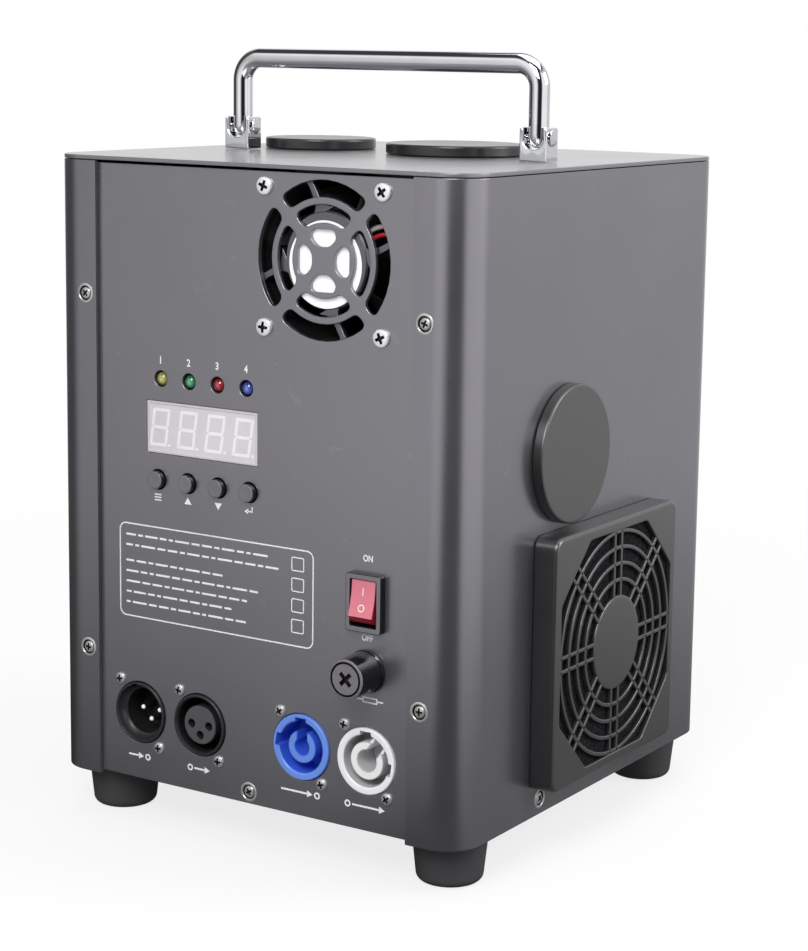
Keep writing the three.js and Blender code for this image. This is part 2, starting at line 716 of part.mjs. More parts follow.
// A twisted blade, lofted from root to tip. Its swept tip corners end on the tip circle.
function fanBlade(root, tip, thickness) {
  const spread = thickness * bladeTwistShares[1] / 2 / Math.tan(bladePitch[1]) + bladeSweep;
  const tipMiddle = Math.sqrt(tip ** 2 - spread ** 2);
  const rings = [];
  for (let r = 0; r <= bladeRings; r++) {
    const t = r / bladeRings;
    const radius = root + (tipMiddle - root) * t;
    const chord = thickness * (bladeTwistShares[0] + (bladeTwistShares[1] - bladeTwistShares[0]) * t);
    const pitch = bladePitch[0] + (bladePitch[1] - bladePitch[0]) * t;
    const reach = chord / 2 / Math.sin(pitch);
    const along = new THREE.Vector3(0, Math.cos(pitch), Math.sin(pitch));
    const across = new THREE.Vector3(0, -Math.sin(pitch), Math.cos(pitch));
    const middle = new THREE.Vector3(radius, bladeSweep * t * t, 0);
    rings.push([[-1, -1], [1, -1], [1, 1], [-1, 1]].map(([a, b]) => middle.clone()
      .addScaledVector(along, a * reach)
      .addScaledVector(across, (b * bladeThickness) / 2)));
  }
  return loft(rings);
}

function fanRotor(size, thickness) {
  const hub = hubShare * size;
  const depth = thickness - strutDepth - 2 * slack - fanFlange / 2;
  const tip = (size / 2 - fanDuctWall) * Math.cos(Math.PI / fanSides) - fanTip;
  const bore = shaftRadius + slack;
  const capBack = fanFlange / 2;
  const bowl = turned([
    [bore, 0], [hub, 0], [hub, -depth], [0, -depth], [0, capBack - depth], [bore, capBack - depth], [bore, 0],
  ], midSides);
  const blades = [];
  for (let i = 0; i < fanBladeCount; i++) {
    blades.push(fanBlade(hub - bladeThickness, tip, depth)
      .translate(0, 0, -depth / 2)
      .rotateZ((2 * Math.PI * i) / fanBladeCount));
  }
  return joined(bowl, ...blades);
}

const fanFace = -sheet - seat; // behind the sheet that it is screwed to
const rotorFace = fanFace - strutDepth - slack;
addPart(front, 'front_fan_frame', fanFrame(frontFanSize, frontFanThickness), steel,
  frontFanX, frontFanZ, fanFace);
addPart(front, 'front_fan_rotor', fanRotor(frontFanSize, frontFanThickness), blackPlastic,
  frontFanX, frontFanZ, rotorFace);
addPart(side, 'side_fan_frame', fanFrame(sideFanSize, sideFanThickness), blackPlastic,
  sideFanY, sideFanZ, fanFace);
addPart(side, 'side_fan_rotor', fanRotor(sideFanSize, sideFanThickness), blackPlastic,
  sideFanY, sideFanZ, rotorFace);

// Filter guard: base with a cross, foam, and the snap-on cover with its rings and paired ribs
const guardCorner = 4.5;
const guardWall = 1.8;
const guardFace = 1.8;
const guardBorder = 4.3; // frame of the guard outside the flat sides of its opening
const guardOpening = guardSize / 2 - guardBorder; // from the middle to a flat side
const flatShare = 0.52; // half a flat side, of the opening
const guardFlat = flatShare * guardOpening;
const guardHub = 17.9;
const guardRingCount = 4;
const ringPitch = (guardOpening - guardHub) / guardRingCount;
// Outer radii
const guardRings = Array.from({ length: guardRingCount }, (_, i) => guardHub + (i + 1) * ringPitch);
const guardLine = 1.2; // width of rings and ribs
const ribSpacing = 5.2; // between the two ribs of a pair
const ribDirections = 8;
const tipShare = 0.39; // where a corner window ends on the ring, of half a flat side
const guardTip = tipShare * guardFlat;
const baseThickness = 2;
const baseMargin = 2; // base inside the hole in the right wall
const baseOpening = sideFanOpening - baseMargin;
const baseCross = 3;

// A window of the guard between two radii, and between two lines that run out beside the ribs.
// Each line is [direction, offset]: it keeps that offset from the ray at that angle.
function ringWindow(inner, outer, lineA, lineB, steps) {
  const angleAt = (radius, [direction, offset]) => direction + Math.asin(offset / radius);
  const arc = (radius) => {
    const from = angleAt(radius, lineA);
    const to = angleAt(radius, lineB);
    const points = [];
    for (let i = 0; i <= steps; i++) {
      const angle = from + (to - from) * (i / steps);
      points.push(new THREE.Vector2(radius * Math.cos(angle), radius * Math.sin(angle)));
    }
    return points;
  };
  return [...arc(inner), ...arc(outer).reverse()];
}

// Windows outside the last ring, in the corners of the eight-sided opening
function cornerWindows(inner, quarter) {
  const clear = ribSpacing / 2 + guardLine / 2;
  const between = ribSpacing / 2 - guardLine / 2;
  const diagonal = Math.PI / 4;
  const edge = (guardOpening + guardFlat) / Math.SQRT2; // from the middle to a sloping side
  const onRing = (offset) => new THREE.Vector2(Math.sqrt(inner ** 2 - offset ** 2), offset);
  const origin = new THREE.Vector2(0, 0);
  const stub = [[edge, -between], [edge, between]].map(([x, y]) => new THREE.Vector2(x, y));
  const middle = [onRing(-between), ...stub, onRing(between)].map((p) => p.rotateAround(origin, diagonal));
  const slope = new THREE.Vector2(edge, -clear).rotateAround(origin, diagonal);
  const ringEnd = onRing(-clear).rotateAround(origin, diagonal);
  const halfway = (Math.asin(guardTip / inner) + ringEnd.angle()) / 2;
  const lower = [
    onRing(guardTip), new THREE.Vector2(guardOpening, guardTip), new THREE.Vector2(guardOpening, guardFlat),
    slope, ringEnd, new THREE.Vector2(Math.cos(halfway), Math.sin(halfway)).multiplyScalar(inner),
  ];
  const upper = lower.map((p) => new THREE.Vector2(p.y, p.x)).reverse();
  return [middle, lower, upper].map((window) => turnedPoints(window, (quarter * Math.PI) / 2));
}

function filterCover() {
  const shape = roundedRect(guardSize, guardSize, guardCorner);
  const clear = ribSpacing / 2 + guardLine / 2;
  const between = ribSpacing / 2 - guardLine / 2;
  const windows = [];
  let inner = guardHub;
  for (const ring of guardRings) {
    const steps = ring > guardSize / 4 ? 2 : 1;
    for (let i = 0; i < ribDirections; i++) {
      const here = (2 * Math.PI * i) / ribDirections;
      const next = (2 * Math.PI * (i + 1)) / ribDirections;
      windows.push(ringWindow(inner, ring - guardLine, [here, -between], [here, between], 1));
      windows.push(ringWindow(inner, ring - guardLine, [here, clear], [next, -clear], steps));
    }
    inner = ring;
  }
  for (const quarter of [0, 1, 2, 3]) windows.push(...cornerWindows(inner, quarter));
  const faceBottom = seat + guardDepth - guardFace;
  const through = guardFace + 2 * overrun;
  const tools = windows.map((window) => slab(new THREE.Shape(window), through, faceBottom - overrun));
  const face = cut(slab(shape, guardFace, faceBottom), ...tools);
  const skirt = roundedRect(guardSize, guardSize, guardCorner);
  const hollowSize = guardSize - 2 * guardWall;
  skirt.holes.push(new THREE.Path(roundedRect(hollowSize, hollowSize, guardCorner - guardWall).getPoints(1)));
  return joined(face, slab(skirt, guardDepth - guardFace / 2, seat));
}

function filterBase() {
  const size = guardSize - 2 * (guardWall + seat);
  const shape = roundedRect(size, size, guardCorner - guardWall);
  shape.holes.push(hole(baseOpening, largeSides));
  const reach = 2 * baseOpening + baseCross;
  return joined(
    slab(shape, baseThickness, seat),
    box(reach, baseCross, baseThickness, 0, 0, seat),
    box(baseCross, reach, baseThickness, 0, 0, seat),
  );
}

function filterFoam() {
  const size = guardSize - 2 * (guardWall + seat);
  const thickness = guardDepth - guardFace - baseThickness - 2 * seat;
  return slab(roundedRect(size, size, guardCorner - guardWall), thickness, baseThickness + 2 * seat);
}
addPart(side, 'filter_base', filterBase(), blackPlastic, sideFanY, sideFanZ);
addPart(side, 'filter_foam', filterFoam(), foamBlack, sideFanY, sideFanZ);
addPart(side, 'filter_cover', filterCover(), blackPlastic, sideFanY, sideFanZ);

// Display, lamps and buttons on their board
const boardThickness = 1.6;
const lampFlange = 2.9;
const lampFlangeHeight = 1;
const buttonStem = 2;
const tactSize = 6;

const displayStandoff = 1.5; // display in front of its board
const displayDepth = sheet + boardSet - displaySet - displayStandoff;
addPart(front, 'display_module',
  box(displayWidth, displayHeight, displayDepth, 0, 0, -displaySet - displayDepth),
  greyPlastic, displayX, displayZ, 0);

const boardFace = -sheet - boardSet; // front of the board
const tactTop = boardFace + boardSet / 2;

function displayBoard() {
  const width = boardRight - boardLeft;
  const height = boardTop - boardBottom;
  const middleX = (boardRight + boardLeft) / 2;
  const middleZ = (boardTop + boardBottom) / 2;
  const pieces = [box(width, height, boardThickness, middleX, middleZ, boardFace - boardThickness)];
  for (let i = 0; i < controlCount; i++) {
    const sunk = boardThickness / 2;
    pieces.push(box(tactSize, tactSize, tactTop - boardFace + sunk, buttonX(i), buttonZ, boardFace - sunk));
  }
  return joined(...pieces);
}
addPart(front, 'display_board', displayBoard(), boardGreen);

const lampDomes = [0xc9c45a, 0x0f8a4a, 0xc8102a, 0x1a3fb0];
function lamp() {
  const top = lampRadius * 0.2; // dome's crown just proud of the panel
  const shoulder = top - lampRadius;
  const back = boardFace + seat;
  const flangeTop = back + lampFlangeHeight;
  const dome = [];
  const domeSteps = 2;
  for (let i = 0; i <= domeSteps; i++) {
    const angle = (Math.PI / 2) * (i / domeSteps);
    dome.push([lampRadius * Math.cos(angle), shoulder + lampRadius * Math.sin(angle)]);
  }
  const foot = [[0, back], [lampFlange, back], [lampFlange, flangeTop], [lampRadius, flangeTop]];
  return turned([...foot, ...dome], pinSides);
}

function button() {
  const stemBottom = tactTop + buttonTravel + seat;
  const capBottom = -sheet - buttonTravel - slack;
  const soft = buttonRadius * 0.15;
  return turned([
    [0, stemBottom], [buttonStem, stemBottom], [buttonStem, capBottom], [buttonRadius, capBottom],
    [buttonRadius, buttonProud - soft], [buttonRadius - soft, buttonProud], [0, buttonProud],
  ], smallSides);
}

for (let i = 0; i < controlCount; i++) {
  const finish = material(lampDomes[i % lampDomes.length], 0.2, 0);
  addPart(front, `lamp_${i + 1}`, lamp(), finish, controlX(i), lampZ, 0);
  addPart(front, `button_${i + 1}`, button(), blackPlastic, buttonX(i), buttonZ, 0);
}

// Rocker switch: the rocker turns on a pin line inside its body, here with its top end pressed
const bezelProud = 2;
const bezelSoft = 1;
const rockerHollowShare = 0.85; // middle of the rocker's face against its ends
const switchDepth = 16;
const switchWall = 1.5;
const switchEnd = 2.2; // body above and below the rocker
const rockerWidth = switchBodyWidth - 2 * (switchWall + slack);
const rockerHalf = switchBodyHeight / 2 - switchEnd; // ridge to end
const rockerPeak = 4.2; // face above the pivot
const rockerTilt = 0.21; // radians from the level position
const rockerWell = 8; // depth of the hole that it rocks in
const rockerPivot = -1; // behind the panel's face
const wellHalf = rockerHalf * Math.cos(rockerTilt) + rockerPeak * Math.sin(rockerTilt) + slack;

function switchBody() {
  const plate = slab(roundedRect(bezelWidth, bezelHeight, bezelSoft), bezelProud, seat);
  const block = box(switchBodyWidth, switchBodyHeight, switchDepth + bezelProud / 2, 0, 0, -switchDepth);
  const well = box(rockerWidth + 2 * slack, 2 * wellHalf, rockerWell + 2 * bezelProud, 0, 0, -rockerWell);
  return cut(joined(plate, block), well);
}

function switchRocker() {
  const shape = new THREE.Shape(); // X up, Y out, seen from the side
  shape.moveTo(-rockerHalf, 0);
  shape.lineTo(0, -rockerPeak / 2);
  shape.lineTo(rockerHalf, 0);
  shape.lineTo(rockerHalf, rockerPeak);
  shape.quadraticCurveTo(0, rockerPeak * rockerHollowShare, -rockerHalf, rockerPeak);
  return sideways(slab(shape, rockerWidth, -rockerWidth / 2, 3));
}
addPart(front, 'switch_body', switchBody(), blackPlastic, switchX, switchZ, 0);
const rocker = addPart(front, 'switch_rocker', switchRocker(), redPlastic, switchX, switchZ, rockerPivot);
rocker.rotation.x = -rockerTilt;

// Fuse holder, its cap and the glass link
const fuseFlangeHeight = 1.6;
const fuseLength = 30;
const fuseWall = 1.1;
const fuseCapRim = 0.8; // cap outside the barrel
const fuseCapRadius = fuseBarrel + fuseCapRim;
const fuseCapProud = 12;
const fuseCapSides = 16;
const linkRadius = 2.6;
const linkLength = 20;
const linkCap = 5;

function fuseHolder() {
  const inner = fuseBarrel - fuseWall;
  const top = seat + fuseFlangeHeight;
  const lower = -fuseLength;
  return turned([
    [0, lower], [fuseBarrel, lower], [fuseBarrel, seat], [fuseFlange, seat], [fuseFlange, top - seat],
    [fuseFlange - seat, top], [inner, top], [inner, lower + fuseWall], [0, lower + fuseWall],
  ], smallSides);
}

function fuseCap() {
  const bottom = seat + fuseFlangeHeight + seat;
  const top = bottom + fuseCapProud;
  const soft = fuseCapRadius * 0.1;
  const stem = fuseBarrel - fuseWall - slack;
  const stemEnd = bottom - fuseFlangeHeight - 2 * sheet;
  const body = turned([
    [0, stemEnd], [stem, stemEnd], [stem, bottom], [fuseCapRadius, bottom], [fuseCapRadius, top - soft],
    [fuseCapRadius - soft, top], [0, top],
  ], fuseCapSides);
  const slotWidth = fuseCapRadius * 0.2;
  const slotLength = fuseCapRadius * 0.95;
  const slotDepth = fuseCapRadius * 0.25;
  return cut(body,
    box(slotLength, slotWidth, slotDepth + overrun, 0, 0, top - slotDepth).rotateZ(Math.PI / 4),
    box(slotWidth, slotLength, slotDepth + overrun, 0, 0, top - slotDepth).rotateZ(Math.PI / 4));
}

function fuseLink() {
  const top = seat + fuseFlangeHeight + seat - fuseFlangeHeight - 2 * sheet - seat;
  const waist = linkRadius * 0.9;
  return turned([
    [0, top - linkLength], [linkRadius, top - linkLength], [linkRadius, top - linkLength + linkCap],
    [waist, top - linkLength + linkCap], [waist, top - linkCap], [linkRadius, top - linkCap],
    [linkRadius, top], [0, top],
  ], pinSides);
}
addPart(front, 'fuse_holder', fuseHolder(), blackPlastic, fuseX, fuseZ, 0);
addPart(front, 'fuse_cap', fuseCap(), blackPlastic, fuseX, fuseZ, 0);
addPart(front, 'fuse_link', fuseLink(), zincSteel, fuseX, fuseZ, 0);

// Sockets: a square-cornered flange behind the panel and a round nose through its hole
const socketFlangeThickness = 2.4;
const socketFlangeCorner = 3;
const socketBodyLength = 22;
const socketProud = 0.9;
const signalWall = 1; // round the bevelled mouth of the cup
const signalRim = 1.1; // width of that bevel
const signalCup = signalNose - signalWall - signalRim;
const signalCupDepth = 13;
const pinCircle = 4;
const contactRadius = 1.2;
const contactLength = 9;
const grooveWidth = 2.1; // round the insert
const insertRadius = signalCup - grooveWidth;
const insertSet = 1;
const powerRimWidth = 2.6;
const powerGap = 2.6; // between rim and hub
const powerHubWall = 3;
const powerRing = powerNose - powerRimWidth;
const powerWellDepth = 11;
const powerHubOuter = powerRing - powerGap;
const powerHubInner = powerHubOuter - powerHubWall;
const powerHubSet = 1;
const keyWidth = 4.4;
const keyDepth = 1.4;

function socketBlank(nose) {
  const back = -sheet - seat;
  const flange = slab(roundedRect(socketFlangeWidth, socketFlangeHeight, socketFlangeCorner),
    socketFlangeThickness, back - socketFlangeThickness);
  return joined(flange, rod(nose, socketBodyLength + socketProud, midSides, 0, 0, -socketBodyLength));
}

function signalInlet() {
  const step = signalCup + signalRim;
  const cup = turned([
    [0, socketProud + overrun], [step, socketProud + overrun], [step, socketProud - signalRim],
    [signalCup, socketProud - 2 * signalRim], [signalCup, -signalCupDepth], [0, -signalCupDepth],
  ], midSides);
  const pins = contactPlaces().map(([x, y]) => (
    rod(contactRadius, contactLength + overrun, pinSides, x, y, -signalCupDepth - overrun)
  ));
  const key = box(keyWidth / 2, keyDepth, signalCupDepth,
    0, signalCup + signalRim, socketProud - signalCupDepth / 2);
  return joined(cut(socketBlank(signalNose), cup, key), ...pins);
}

// Left, below and right of the middle
function contactPlaces() {
  return [-2, -1, 0].map((quarter) => {
    const angle = (quarter * Math.PI) / 2;
    return [pinCircle * Math.cos(angle), pinCircle * Math.sin(angle)];
  });
}

function signalOutlet() {
  const mouth = signalCup + signalRim / 2;
  const groove = ringSolid(mouth, insertRadius, -signalCupDepth, socketProud + overrun, midSides);
  const lowered = rod(insertRadius + overrun / 2, insertSet + overrun, midSides,
    0, 0, socketProud - insertSet);
  const holes = contactPlaces().map(([x, y]) => (
    rod(contactRadius * 1.2, contactLength + overrun, pinSides, x, y, socketProud - contactLength)
  ));
  return cut(socketBlank(signalNose), groove, lowered, ...holes);
}

// Twist-lock power socket: a well with two key notches round a split hub
function powerSocket(keyTurns, gapTurn) {
  const deep = powerWellDepth + socketProud + overrun;
  const well = ringSolid(powerRing, powerHubOuter, -powerWellDepth, socketProud + overrun, midSides);
  const hubBore = rod(powerHubInner, deep, midSides, 0, 0, -powerWellDepth);
  const lowered = rod(powerRing, powerHubSet + overrun, midSides, 0, 0, socketProud - powerHubSet);
  const gap = box(powerHubOuter, powerHubInner, deep, (powerHubOuter + powerHubInner) / 2, 0, -powerWellDepth)
    .rotateZ(gapTurn);
  const keys = keyTurns.map((turn) => (
    box(keyDepth * 2, keyWidth, deep, powerRing, 0, -powerWellDepth).rotateZ(turn)
  ));
  return cut(socketBlank(powerNose), well, hubBore, lowered, gap, ...keys);
}

addPart(front, 'signal_inlet', signalInlet(), blackPlastic, signalSockets.signal_inlet, socketZ, 0);
addPart(front, 'signal_outlet', signalOutlet(), blackPlastic, signalSockets.signal_outlet, socketZ, 0);
addPart(front, 'power_inlet', powerSocket([Math.PI / 2, Math.PI * 0.95], Math.PI / 2), bluePlastic,
  powerSockets.power_inlet, socketZ, 0);
addPart(front, 'power_outlet', powerSocket([Math.PI / 2, 0], Math.PI * 0.3), greyPlastic,
  powerSockets.power_outlet, socketZ, 0);

// Granule path: hopper, feed barrel with its screw and motor, heated chamber, nozzle
const hopperFlangeHeight = 1.5;
const hopperWall = 1.2;
const hopperStraight = 22; // straight part under the flange
const hopperThroat = 5;
const barrelOuter = 8;
const barrelWall = 1.6;
const barrelInner = barrelOuter - barrelWall;
const chamberOuter = 17;
const chamberWall = 2.2;
const nozzleHeight = 20.2;
const chamberTop = plateBottom - seat - nozzleHeight - seat;
const scrollRadius = 30;
const scrollGrow = 6; // how much the blower's scroll opens towards its outlet
const blowerZ = baseLift + sheet + seat + scrollRadius + scrollGrow;
const outletNeck = 20.4; // blower's outlet above its scroll
const chamberBottom = blowerZ + scrollRadius + scrollGrow + outletNeck + seat;
const feedRise = 44; // barrel's axis above the chamber's lower end
const feedHeight = chamberBottom + feedRise;
const feedStub = 4; // chamber's pipe towards the barrel
const screwCore = 2.4;
const screwFlight = barrelInner - slack * 1.5;
const screwPitch = 13;
const screwThickness = 1.6;
const screwSteps = 6; // faces in one turn
const feedMotorRadius = 11;
const feedMotorLength = 24;
const motorShaft = 2.2;

const barrelRight = outletX - chamberOuter - feedStub - seat;
const barrelLeft = hopperX - barrelOuter - 2 * hopperWall;
const hopperTopZ = plateBottom - seat; // under the top plate
const hopperBottomZ = feedHeight + barrelOuter + seat;

function hopper() {
  const top = hopperTopZ;
  const mouth = hopperHole + hopperWall / 2;
  const coneTop = top - hopperStraight;
  return turned([
    [mouth, top], [hopperFlange, top], [hopperFlange, top - hopperFlangeHeight],
    [mouth + hopperWall, top - hopperFlangeHeight], [mouth + hopperWall, coneTop],
    [hopperThroat + hopperWall, hopperBottomZ], [hopperThroat, hopperBottomZ], [mouth, coneTop], [mouth, top],
  ], midSides);
}
addPart(housing, 'hopper', hopper(), zincSteel, hopperX, hopperY, 0);

const feedY = hopperY; // the barrel runs straight under the hopper
const chamberY = outletY;

function feedBarrel() {
  const length = barrelRight - barrelLeft;
  const tube = ringSolid(barrelOuter, barrelInner, 0, length, midSides).rotateY(Math.PI / 2);
  const mouth = rod(hopperThroat, barrelOuter + overrun, smallSides, hopperX - barrelLeft, 0, 0);
  return cut(tube, mouth);
}
addPart(housing, 'feed_barrel', feedBarrel(), zincSteel, barrelLeft, feedY, feedHeight);

// A screw flight: a thin helical web on a core
function feedScrew() {
  const length = barrelRight - barrelLeft - 2 * slack;
  const turns = Math.floor((length - screwThickness * 2) / screwPitch);
  const count = turns * screwSteps;
  const rings = [];
  for (let i = 0; i <= count; i++) {
    const angle = (2 * Math.PI * i) / screwSteps;
    const along = screwThickness + (screwPitch * i) / screwSteps;
    const [x, y] = [Math.cos(angle), Math.sin(angle)];
    const place = (radius, shift) => new THREE.Vector3(radius * x, radius * y, along + shift);
    rings.push([
      place(screwCore / 2, -screwThickness / 2), place(screwFlight, -screwThickness / 4),
      place(screwFlight, screwThickness / 4), place(screwCore / 2, screwThickness / 2),
    ]);
  }
  return joined(rod(screwCore, length, pinSides), loft(rings)).rotateY(Math.PI / 2);
}
addPart(housing, 'feed_screw', feedScrew(), zincSteel, barrelLeft + slack, feedY, feedHeight);

function feedMotor() {
  const collar = barrelOuter;
  const collarLength = sheet * 2;
  return turned([
    [0, -feedMotorLength], [feedMotorRadius, -feedMotorLength], [feedMotorRadius, -collarLength],
    [collar, -collarLength], [collar, 0], [motorShaft, 0], [0, 0],
  ], midSides).rotateY(Math.PI / 2);
}
addPart(housing, 'feed_motor', feedMotor(), zincSteel, barrelLeft - seat, feedY, feedHeight);

function heatingChamber() {
  const inner = chamberOuter - chamberWall;
  const length = chamberTop - chamberBottom;
  const tube = ringSolid(chamberOuter, inner, 0, length, midSides);
  const feedZ = feedHeight - chamberBottom;
  const stub = rod(barrelOuter, chamberOuter + feedStub, midSides)
    .rotateY(-Math.PI / 2)
    .translate(0, feedY - chamberY, feedZ);
  const bore = rod(barrelInner, chamberOuter + feedStub + overrun, midSides)
    .rotateY(-Math.PI / 2)
    .translate(0, feedY - chamberY, feedZ);
  const room = rod(inner, length, midSides);
  return cut(joined(tube, cut(stub, room)), bore);
}
addPart(housing, 'heating_chamber', heatingChamber(), zincSteel, outletX, chamberY, chamberBottom);

const heaterWall = 6;
const heaterOuter = chamberOuter + heaterWall;
const heaterDrop = 9; // below the chamber's upper end
const heaterRise = 12; // above the feed barrel
const heaterTop = chamberTop - heaterDrop;
const heaterBottom = feedHeight + barrelOuter + heaterRise;
const heaterRibs = 2;
const heaterRibDepth = 1;

function heaterBand() {
  const inner = chamberOuter + seat;
  const length = heaterTop - heaterBottom;
  const pitch = length / heaterRibs;
  const profile = [[inner, 0]];
  for (let i = 0; i < heaterRibs; i++) {
    profile.push([heaterOuter, i * pitch], [heaterOuter, (i + 0.8) * pitch]);
    const groove = heaterOuter - heaterRibDepth;
    if (i < heaterRibs - 1) profile.push([groove, (i + 0.85) * pitch], [groove, (i + 0.95) * pitch]);
  }
  profile.push([inner, (heaterRibs - 0.2) * pitch], [inner, 0]);
  return turned(profile, midSides);
}
addPart(housing, 'heater_band', heaterBand(), zincSteel, outletX, chamberY, heaterBottom);

const nozzleFlangeRim = 4;
const nozzleFlange = outletHole + nozzleFlangeRim;
const nozzleFlangeHeight = 1.5;
const nozzleWall = 1.4;
const nozzleStraight = 9;

function sparkNozzle() {
  const top = plateBottom - seat;
  const bottom = chamberTop + seat;
  const mouth = outletHole + nozzleWall / 2;
  const throat = chamberOuter - chamberWall;
  return turned([
    [mouth, top], [nozzleFlange, top], [nozzleFlange, top - nozzleFlangeHeight],
    [mouth + nozzleWall, top - nozzleFlangeHeight], [mouth + nozzleWall, top - nozzleStraight],
    [throat + nozzleWall, bottom], [throat, bottom], [mouth, top - nozzleStraight], [mouth, top],
  ], midSides);
}
addPart(housing, 'spark_nozzle', sparkNozzle(), zincSteel, outletX, outletY, 0);

// Blower under the chamber: a scroll on its edge, with its outlet upwards
const blowerWidth = 28;
const blowerWall = 1.6;
const scrollSteps = 13;
const outletWidth = 24;
const impellerGap = 9; // inside the scroll's smallest radius
const impellerRadius = scrollRadius - impellerGap;
const eyeStep = 4; // intake smaller than the impeller
const blowerEye = impellerRadius - eyeStep;
const impellerVanes = 7;
const vaneThickness = 1.2;
const vaneDepth = 6;
const motorHub = 10;

const blowerX = outletX - scrollRadius - scrollGrow + outletWidth / 2;
const outletRise = scrollRadius + scrollGrow + outletNeck;

// Outline of the scroll, X to the right and Y up, its outlet's right wall at the largest radius
function scrollPoints(shrink) {
  const points = [];
  for (let i = 0; i <= scrollSteps; i++) {
    const share = i / scrollSteps;
    const angle = -(1.6 * Math.PI) * (1 - share);
    const radius = scrollRadius + scrollGrow * share - shrink;
    points.push(new THREE.Vector2(radius * Math.cos(angle), radius * Math.sin(angle)));
  }
  const right = scrollRadius + scrollGrow - shrink;
  const left = scrollRadius + scrollGrow - outletWidth + shrink;
  points.push(new THREE.Vector2(right, outletRise + (shrink > 0 ? overrun : 0)));
  points.push(new THREE.Vector2(left, outletRise + (shrink > 0 ? overrun : 0)));
  points.push(new THREE.Vector2(left, scrollRadius * 0.8));
  return points;
}

function blowerHousing() {
  const half = blowerWidth / 2;
  const outer = slab(new THREE.Shape(scrollPoints(0)), blowerWidth, -half);
  const inside = blowerWidth - 2 * blowerWall;
  const room = slab(new THREE.Shape(scrollPoints(blowerWall)), inside, -half + blowerWall);
  const eye = rod(blowerEye, blowerWall + 2 * overrun, midSides, 0, 0, half - blowerWall - overrun);
  const axle = rod(shaftRadius, blowerWidth - 3 * blowerWall, pinSides, 0, 0, -half + blowerWall / 2);
  return joined(cut(outer, room, eye), axle).rotateX(Math.PI / 2);
}
addPart(housing, 'blower_housing', blowerHousing(), blackPlastic, blowerX, chamberY, blowerZ);

function blowerImpeller() {
  const depth = blowerWidth - 2 * blowerWall - 2 * slack - blowerWall;
  const back = -depth / 2;
  const disc = ringSolid(impellerRadius, shaftRadius + slack, back, back + blowerWall, midSides);
  const hub = ringSolid(motorHub, shaftRadius + slack, back, depth / 2, midSides);
  const vanes = [];
  for (let i = 0; i < impellerVanes; i++) {
    vanes.push(box(vaneDepth, vaneThickness, depth, impellerRadius - vaneDepth / 2, 0, back)
      .translate(-impellerRadius, 0, 0)
      .rotateZ(0.5)
      .translate(impellerRadius - vaneThickness, 0, 0)
      .rotateZ((2 * Math.PI * i) / impellerVanes));
  }
  return joined(disc, hub, ...vanes).rotateX(Math.PI / 2);
}
addPart(housing, 'blower_impeller', blowerImpeller(), blackPlastic, blowerX, chamberY, blowerZ);

// Bracket that holds the chamber: foot, upright and a shelf with a hole
const shelfSide = 7; // shelf outside the chamber, left and right
const uprightGap = 18; // behind the chamber
const shelfEnd = 8; // before the chamber
const shelfRise = 6; // above the feed barrel
const bracketHalfX = chamberOuter + shelfSide;
const uprightY = chamberY + chamberOuter + uprightGap;
const shelfFront = chamberY - chamberOuter - shelfEnd;
const shelfZ = feedHeight + barrelOuter + shelfRise;
const bracketFoot = 16;

function chamberBracket() {
  const shape = new THREE.Shape(); // X to the back, Y up
  const bottom = baseFloor + seat;
  const shelfTop = shelfZ;
  shape.moveTo(uprightY + bracketFoot, bottom);
  shape.lineTo(uprightY + bracketFoot, bottom + sheet);
  shape.lineTo(uprightY + sheet, bottom + sheet);
  shape.lineTo(uprightY + sheet, shelfTop);
  shape.lineTo(shelfFront, shelfTop);
  shape.lineTo(shelfFront, shelfTop - sheet);
  shape.lineTo(uprightY, shelfTop - sheet);
  shape.lineTo(uprightY, bottom);
  const plate = sideways(slab(shape, 2 * bracketHalfX, -bracketHalfX));
  const hug = rod(chamberOuter + seat, sheet + 2 * overrun, midSides, 0, chamberY, shelfZ - sheet - overrun);
  return cut(plate, hug);
}
addPart(housing, 'chamber_bracket', chamberBracket(), zincSteel, outletX, 0, 0);

// Power supply on the base plate and the main board on the left wall
const supplyGap = 7; // from the left wall
const supplyY = 10;
const supplyLeft = -halfWidth + sheet + supplyGap;
const supplyRight = blowerX - scrollRadius - scrollGrow - slack;
const supplyWidth = supplyRight - supplyLeft;
const supplyX = (supplyLeft + supplyRight) / 2;
const supplyDepth = 110;
const supplyHeight = 40;
const supplySlots = 8;
const supplySlotWidth = 3;
const supplySlotDepth = 2;

function powerSupply() {
  const body = box(supplyWidth, supplyDepth, supplyHeight);
  const pitch = supplyDepth / (supplySlots + 1);
  const slots = [];
  for (let i = 1; i <= supplySlots; i++) {
    const y = i * pitch - supplyDepth / 2;
    slots.push(box(supplyWidth / 2, supplySlotWidth, supplySlotDepth + overrun,
      0, y, supplyHeight - supplySlotDepth));
  }
  return cut(body, ...slots);
}
addPart(housing, 'power_supply', powerSupply(), zincSteel, supplyX, supplyY, baseFloor + seat);

const mainBoardLength = 100;
const mainBoardHeight = 50;
const mainBoardRise = 16.7; // above the power supply
const mainBoardZ = baseFloor + seat + supplyHeight + mainBoardRise;
const mainBoardY = 5;
const mainBoardStandoff = 5;
const tallestPart = 14;
// Middle along and up, length and height as shares of the board, and rise as a share of the tallest part
const boardPartShares = [
  [-0.36, 0.24, 0.16, 0.28, 0.86],
  [-0.12, 0.6, 0.12, 0.32, 0.71],
  [0.14, 0.28, 0.2, 0.36, 1],
  [0.38, 0.64, 0.14, 0.24, 0.64],
];

